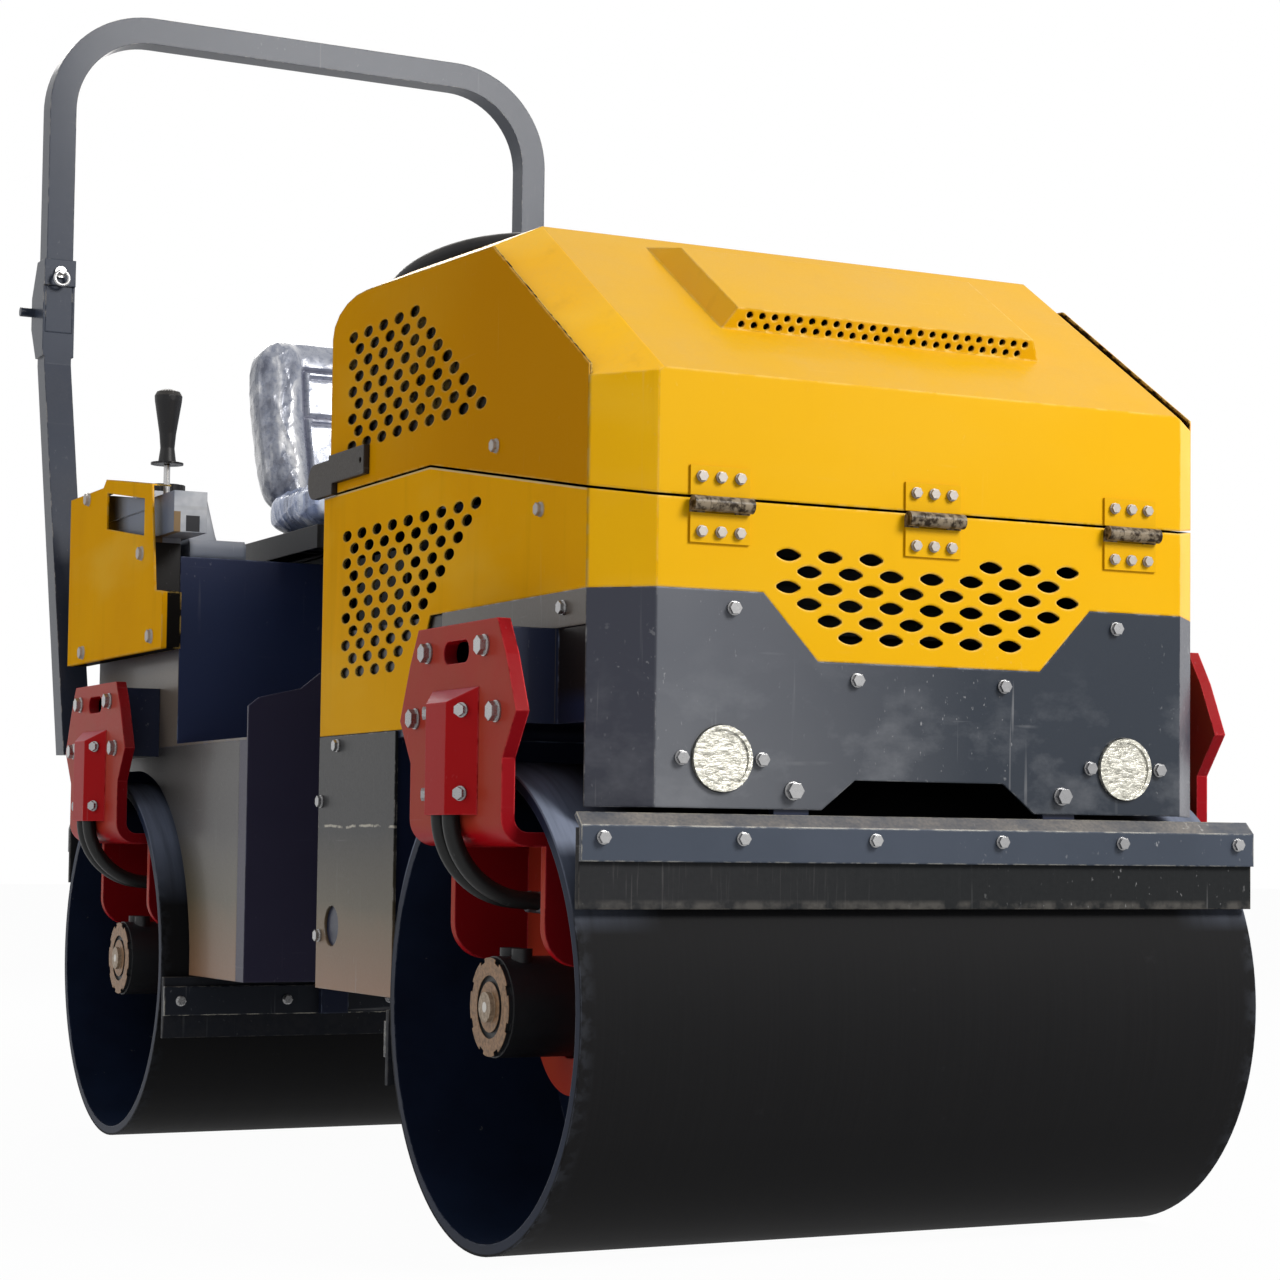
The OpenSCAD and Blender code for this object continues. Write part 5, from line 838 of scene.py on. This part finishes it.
def pad_shell(half, outline, roll, rows=48, cols=160):
    """Closed pad about its middle, its face towards +z. The outline angle w and the roll angle
    t give x = a cos^outline(w) cos^roll(t), y = b sin^outline(w) cos^roll(t),
    z = c sin^roll(t), each power keeping its sign."""
    w = np.linspace(0.0, 2 * np.pi, cols, endpoint=False)[None, :]
    t = np.linspace(-np.pi / 2 + 0.02, np.pi / 2 - 0.02, rows)[:, None]
    flat = signed_power(np.cos(t), roll)
    x = half[0] * signed_power(np.cos(w), outline) * flat
    y = half[1] * signed_power(np.sin(w), outline) * flat
    z = half[2] * signed_power(np.sin(t), roll) * np.ones_like(w)
    return np.stack((x, y, z), -1)


def points(mesh):
    """Array of the mesh's corners."""
    flat = np.empty(len(mesh.vertices) * 3)
    mesh.vertices.foreach_get("co", flat)
    return flat.reshape(-1, 3)


def take_shape(piece):
    """Puts what the piece's modifiers make into its own mesh."""
    seen = piece.evaluated_get(bpy.context.evaluated_depsgraph_get())
    made = bpy.data.meshes.new_from_object(seen)
    piece.modifiers.clear()
    piece.data = made


def swell(piece, cap, pressure=4.0, last=20):
    """Even voxels, then cloth under inside pressure. No point moves further than cap."""
    even = piece.modifiers.new("even", "REMESH")
    even.mode, even.voxel_size = "VOXEL", 0.0055
    take_shape(piece)
    before = points(piece.data)
    cloth = piece.modifiers.new("air", "CLOTH")
    cloth.settings.use_pressure = True
    cloth.settings.uniform_pressure_force = pressure
    cloth.settings.effector_weights.gravity = 0.0
    cloth.point_cache.frame_start, cloth.point_cache.frame_end = 1, last
    for moment in range(1, last + 1):
        bpy.context.scene.frame_set(moment)
    take_shape(piece)
    bpy.context.scene.frame_set(1)
    move = points(piece.data) - before
    far = np.linalg.norm(move, axis=1, keepdims=True)
    after = before + move * np.minimum(1.0, cap / np.maximum(far, 1e-9))
    piece.data.vertices.foreach_set("co", after.ravel())
    finer = piece.modifiers.new("finer", "SUBSURF")
    finer.levels = finer.render_levels = 1
    take_shape(piece)


def film_folds(across, along):
    """Sum of ridged waves, each bent by slow ones: 1 - |sin| along its own line, from 0 to 1."""
    total = np.zeros_like(across)
    for turn, pitch, lag in ((0.15, 0.033, 0.4), (2.75, 0.047, 1.7), (0.6, 0.061, 2.9),
                             (2.2, 0.026, 4.1)):
        line = across * np.cos(turn) + along * np.sin(turn)
        slow = 1.4 * np.sin(11 * along + lag) + 0.9 * np.sin(23 * across - lag)
        bent = np.pi * line / pitch + slow
        total += (1.0 - np.abs(np.sin(bent))) ** 2
    return total / 4.0


def film_pad(name, half, seams_x, seams_y, bolster, material, settle):
    """Pad in its own axes: swollen shell, then side bolsters that rise by a smooth step of |x|,
    sewn channels as round-bottomed grooves, and film folds, all along the face's own axis.
    seams are (where, from, to, depth) along the other direction. settle moves points from the
    pad's axes to the machine's."""
    piece = skin(name, pad_shell(half, 0.30, 0.42), material)
    swell(piece, 0.007)
    at = points(piece.data)
    x, y, z = at[:, 0].copy(), at[:, 1].copy(), at[:, 2].copy()
    face = smooth_step(z, -0.2 * half[2], 0.5 * half[2])
    channel = np.zeros_like(x)
    for along, other, lines in ((x, y, seams_x), (y, x, seams_y)):
        for where, low, high, depth in lines:
            inside = smooth_step(other, low - 0.004, low)
            inside *= smooth_step(-other, -high - 0.004, -high)
            groove = np.exp(-((along - where) / 0.0035) ** 2) * inside
            channel = np.maximum(channel, groove * depth)
    edge = seams_x[-1][0]
    raised = smooth_step(np.abs(x), edge, edge + 0.03)
    loose = np.clip(raised + 0.12, 0.0, 1.0)
    folds = film_folds(x, y) * (0.25 + 0.75 * raised)
    at[:, 2] += face * (bolster * raised + 0.0045 * folds - 0.006 * channel)
    rim = smooth_step(np.abs(x) / half[0], 0.86, 0.97) * smooth_step(-z, -0.9 * half[2], 0.1)
    at[:, 0] += 0.0025 * np.sign(x) * (1.0 - face) * film_folds(z, y)
    piece.data.vertices.foreach_set("co", settle(at).ravel())
    for label, values in (("channel", channel * face), ("rim", rim), ("loose", loose)):
        piece.data.attributes.new(label, "FLOAT", "POINT").data.foreach_set(
            "value", values.astype(np.float32))
    piece.data.update()
    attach(piece, "seat")
    return piece


# Seat: the backrest leans back from the line of its foot, and its middle lies up and out from it
BACK_FOOT = np.array((0.0, 0.71435, 0.9948))
BACK_LEAN = math.radians(8.0)
BACK_UP, BACK_OUT = 0.159, 0.042
CUSHION_MIDDLE = np.array((0.0, 0.48875, 0.999))


def settle_backrest(at):
    """Foot + (y + up) along the back + (z + out) ahead of it, with x narrowed to the top."""
    up = np.array((0.0, math.sin(BACK_LEAN), math.cos(BACK_LEAN)))
    out = np.array((0.0, -math.cos(BACK_LEAN), math.sin(BACK_LEAN)))
    narrow = 1.0 - 0.055 * smooth_step(-at[:, 1], -0.04, 0.13)
    settled = BACK_FOOT + np.outer(at[:, 1] + BACK_UP, up) + np.outer(at[:, 2] + BACK_OUT, out)
    settled[:, 0] += at[:, 0] * narrow
    return settled


def settle_cushion(at):
    return at + CUSHION_MIDDLE


def make_seat():
    back = film_pad("backrest_pad", (0.222, 0.153, 0.033),
                    [(-0.079, 0.014, 0.088, 0.7), (0.079, 0.014, 0.088, 0.7),
                     (-0.137, -0.14, 0.092, 1.0), (0.137, -0.14, 0.092, 1.0)],
                    [(0.093, -0.137, 0.137, 1.0), (0.080, -0.125, 0.125, 0.8),
                     (0.012, -0.137, 0.137, 1.0), (0.002, -0.125, 0.125, 0.7)],
                    0.011, SEAT_FILM, settle_backrest)
    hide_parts("seat_backrest")
    base = film_pad("cushion_pad", (0.227, 0.142, 0.031),
                    [(-0.145, -0.13, 0.13, 1.0), (0.145, -0.13, 0.13, 1.0)],
                    [(-0.03, -0.145, 0.145, 1.0), (0.052, -0.145, 0.145, 1.0)],
                    0.004, PAD_FILM, settle_cushion)
    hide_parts("seat_cushion")


# Drum hoses: straight down inside the cover, one even bend, and a short run to the motor
HOSE_R = 0.010
HOSE_TOP = np.array((0.4887, 0.592))
HOSE_STRAIGHT, HOSE_BEND, HOSE_TURN, HOSE_RUN = 0.092, 0.098, math.radians(84.0), 0.040
HOSE_LENGTH = HOSE_STRAIGHT + HOSE_BEND * HOSE_TURN + HOSE_RUN

# Fittings: a sleeve's radii along the hose's end, a union into the hanger's web, a neck on top
SLEEVE_AT = np.array((-0.018, -0.017, -0.014, -0.012, -0.010, 0.003, 0.0031, 0.009, 0.010))
SLEEVE_R = np.array((0.0105, 0.0122, 0.0126, 0.0122, 0.0126, 0.0126, 0.0138, 0.0138, 0.0115))
UNION_X, UNION_R = 0.322, 0.0088
NECK_X, NECK_Z, NECK_R = 0.470, 0.617, 0.0082


def hose_route(side, y, count=36):
    """At length s the heading a from straight down is clip((s - s1) / R, 0, turn), so
    inwards = R (1 - cos a) + run sin turn, down = min(s, s1) + R sin a + run cos turn."""
    s = np.linspace(0.0, HOSE_LENGTH, count)
    a = np.clip((s - HOSE_STRAIGHT) / HOSE_BEND, 0.0, HOSE_TURN)
    run = np.maximum(s - HOSE_STRAIGHT - HOSE_BEND * HOSE_TURN, 0.0)
    inwards = HOSE_BEND * (1.0 - np.cos(a)) + run * math.sin(HOSE_TURN)
    down = np.minimum(s, HOSE_STRAIGHT) + HOSE_BEND * np.sin(a) + run * math.cos(HOSE_TURN)
    x = side * (HOSE_TOP[0] - inwards)
    return np.stack((x, np.full(count, y), HOSE_TOP[1] - down), -1)


def bend(first, corner, last, count=9):
    """Parabola from first to last that leaves first towards corner:
    (1 - t)^2 first + 2 t (1 - t) corner + t^2 last."""
    t = np.linspace(0.0, 1.0, count)[:, None]
    ends = (1 - t) ** 2 * np.array(first) + t * t * np.array(last)
    return ends + 2 * t * (1 - t) * np.array(corner)


def make_hoses():
    for end, axle in (("front", AXLE_FRONT), ("rear", AXLE_REAR)):
        body = end + "_module"
        for side, side_name in ((-1, "left"), (1, "right")):
            for number, gap in ((1, -0.017), (2, 0.017)):
                y = axle + gap
                label = end + "_hose_" + side_name + "_" + str(number)
                route = hose_route(side, y)
                hose = tube(label, route, HOSE_R, HOSE, sides=24)
                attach(hose, body)
                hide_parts(end + "_drum_hoses")
                heading = route[-1] - route[-2]
                heading /= np.linalg.norm(heading)
                along = route[-1] + np.outer(SLEEVE_AT, heading)
                sleeve = tube(label + "_sleeve", along, SLEEVE_R, IRON)
                into = np.array((side * UNION_X, y, route[-1][2] - 0.002))
                reach = bend(route[-1], 0.5 * (route[-1] + into), into)
                union = tube(label + "_union", reach, UNION_R, IRON)
                top = bend((side * NECK_X, y, NECK_Z), (side * HOSE_TOP[0], y, NECK_Z),
                           (side * HOSE_TOP[0], y, HOSE_TOP[1] - 0.004))
                neck = tube(label + "_neck", top, NECK_R, IRON)
                for piece in (sleeve, union, neck):
                    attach(piece, body)


make_hoses()
make_seat()


# Floor, world and lamps

def seen_directly(tree):
    """One for rays from the camera, and for those mirrored or let through."""
    path = node(tree, "ShaderNodeLightPath").outputs
    mirrored = maths(tree, "MAXIMUM", path["Is Camera Ray"], path["Is Glossy Ray"])
    return maths(tree, "MAXIMUM", mirrored, path["Is Transmission Ray"])


def make_floor():
    """Pale plain ground that shows white."""
    mesh = bpy.data.meshes.new("floor")
    reach = 30.0
    mesh.from_pydata([(-reach, -reach, 0.0), (reach, -reach, 0.0), (reach, reach, 0.0),
                      (-reach, reach, 0.0)], [], [(0, 1, 2, 3)])
    floor = bpy.data.objects.new("floor", mesh)
    bpy.context.scene.collection.objects.link(floor)
    made, tree = start("pale_floor")
    coat_with(tree, {"Base Color": (0.6, 0.6, 0.6, 1.0), "Roughness": 0.9,
                     "Specular IOR Level": 0.0})
    lit = tree.nodes["Principled BSDF"].outputs[0]
    glow = node(tree, "ShaderNodeEmission", {"Color": (1.0, 1.0, 1.0, 1.0), "Strength": 1.0})
    share = times(tree, seen_directly(tree), 0.97)
    both = node(tree, "ShaderNodeMixShader", {0: share, 1: lit, 2: glow.outputs[0]})
    tree.links.new(both.outputs[0], tree.nodes["Material Output"].inputs["Surface"])
    mesh.materials.append(made)


def make_world():
    """Soft sky light that shows white."""
    world = bpy.data.worlds.new("studio")
    bpy.context.scene.world = world
    world.use_nodes = True
    tree = world.node_tree
    tree.nodes.clear()
    soft = node(tree, "ShaderNodeBackground", {"Color": (0.86, 0.9, 1.0, 1.0), "Strength": 0.4})
    white = node(tree, "ShaderNodeBackground", {"Color": (1.0, 1.0, 1.0, 1.0), "Strength": 1.0})
    both = node(tree, "ShaderNodeMixShader", {0: seen_directly(tree), 1: soft.outputs[0],
                                               2: white.outputs[0]})
    node(tree, "ShaderNodeOutputWorld", {"Surface": both.outputs[0]})


def lamp(name, at, width, power):
    """Warm round area lamp, aimed at the machine's middle."""
    data = bpy.data.lights.new(name, "AREA")
    data.shape, data.size, data.energy, data.color = "DISK", width, power, (1.0, 0.98, 0.95)
    made = bpy.data.objects.new(name, data)
    bpy.context.scene.collection.objects.link(made)
    made.location = at
    aim = Vector((0.0, 0.0, 0.7)) - Vector(at)
    made.rotation_euler = aim.to_track_quat("-Z", "Y").to_euler()


make_floor()
make_world()
lamp("key", (2.2, -4.8, 3.6), 2.2, 360.0)
lamp("fill", (-4.2, 0.4, 2.6), 3.0, 25.0)
lamp("back", (1.0, 4.5, 3.6), 3.0, 120.0)
bpy.context.scene.view_settings.view_transform = "Standard"
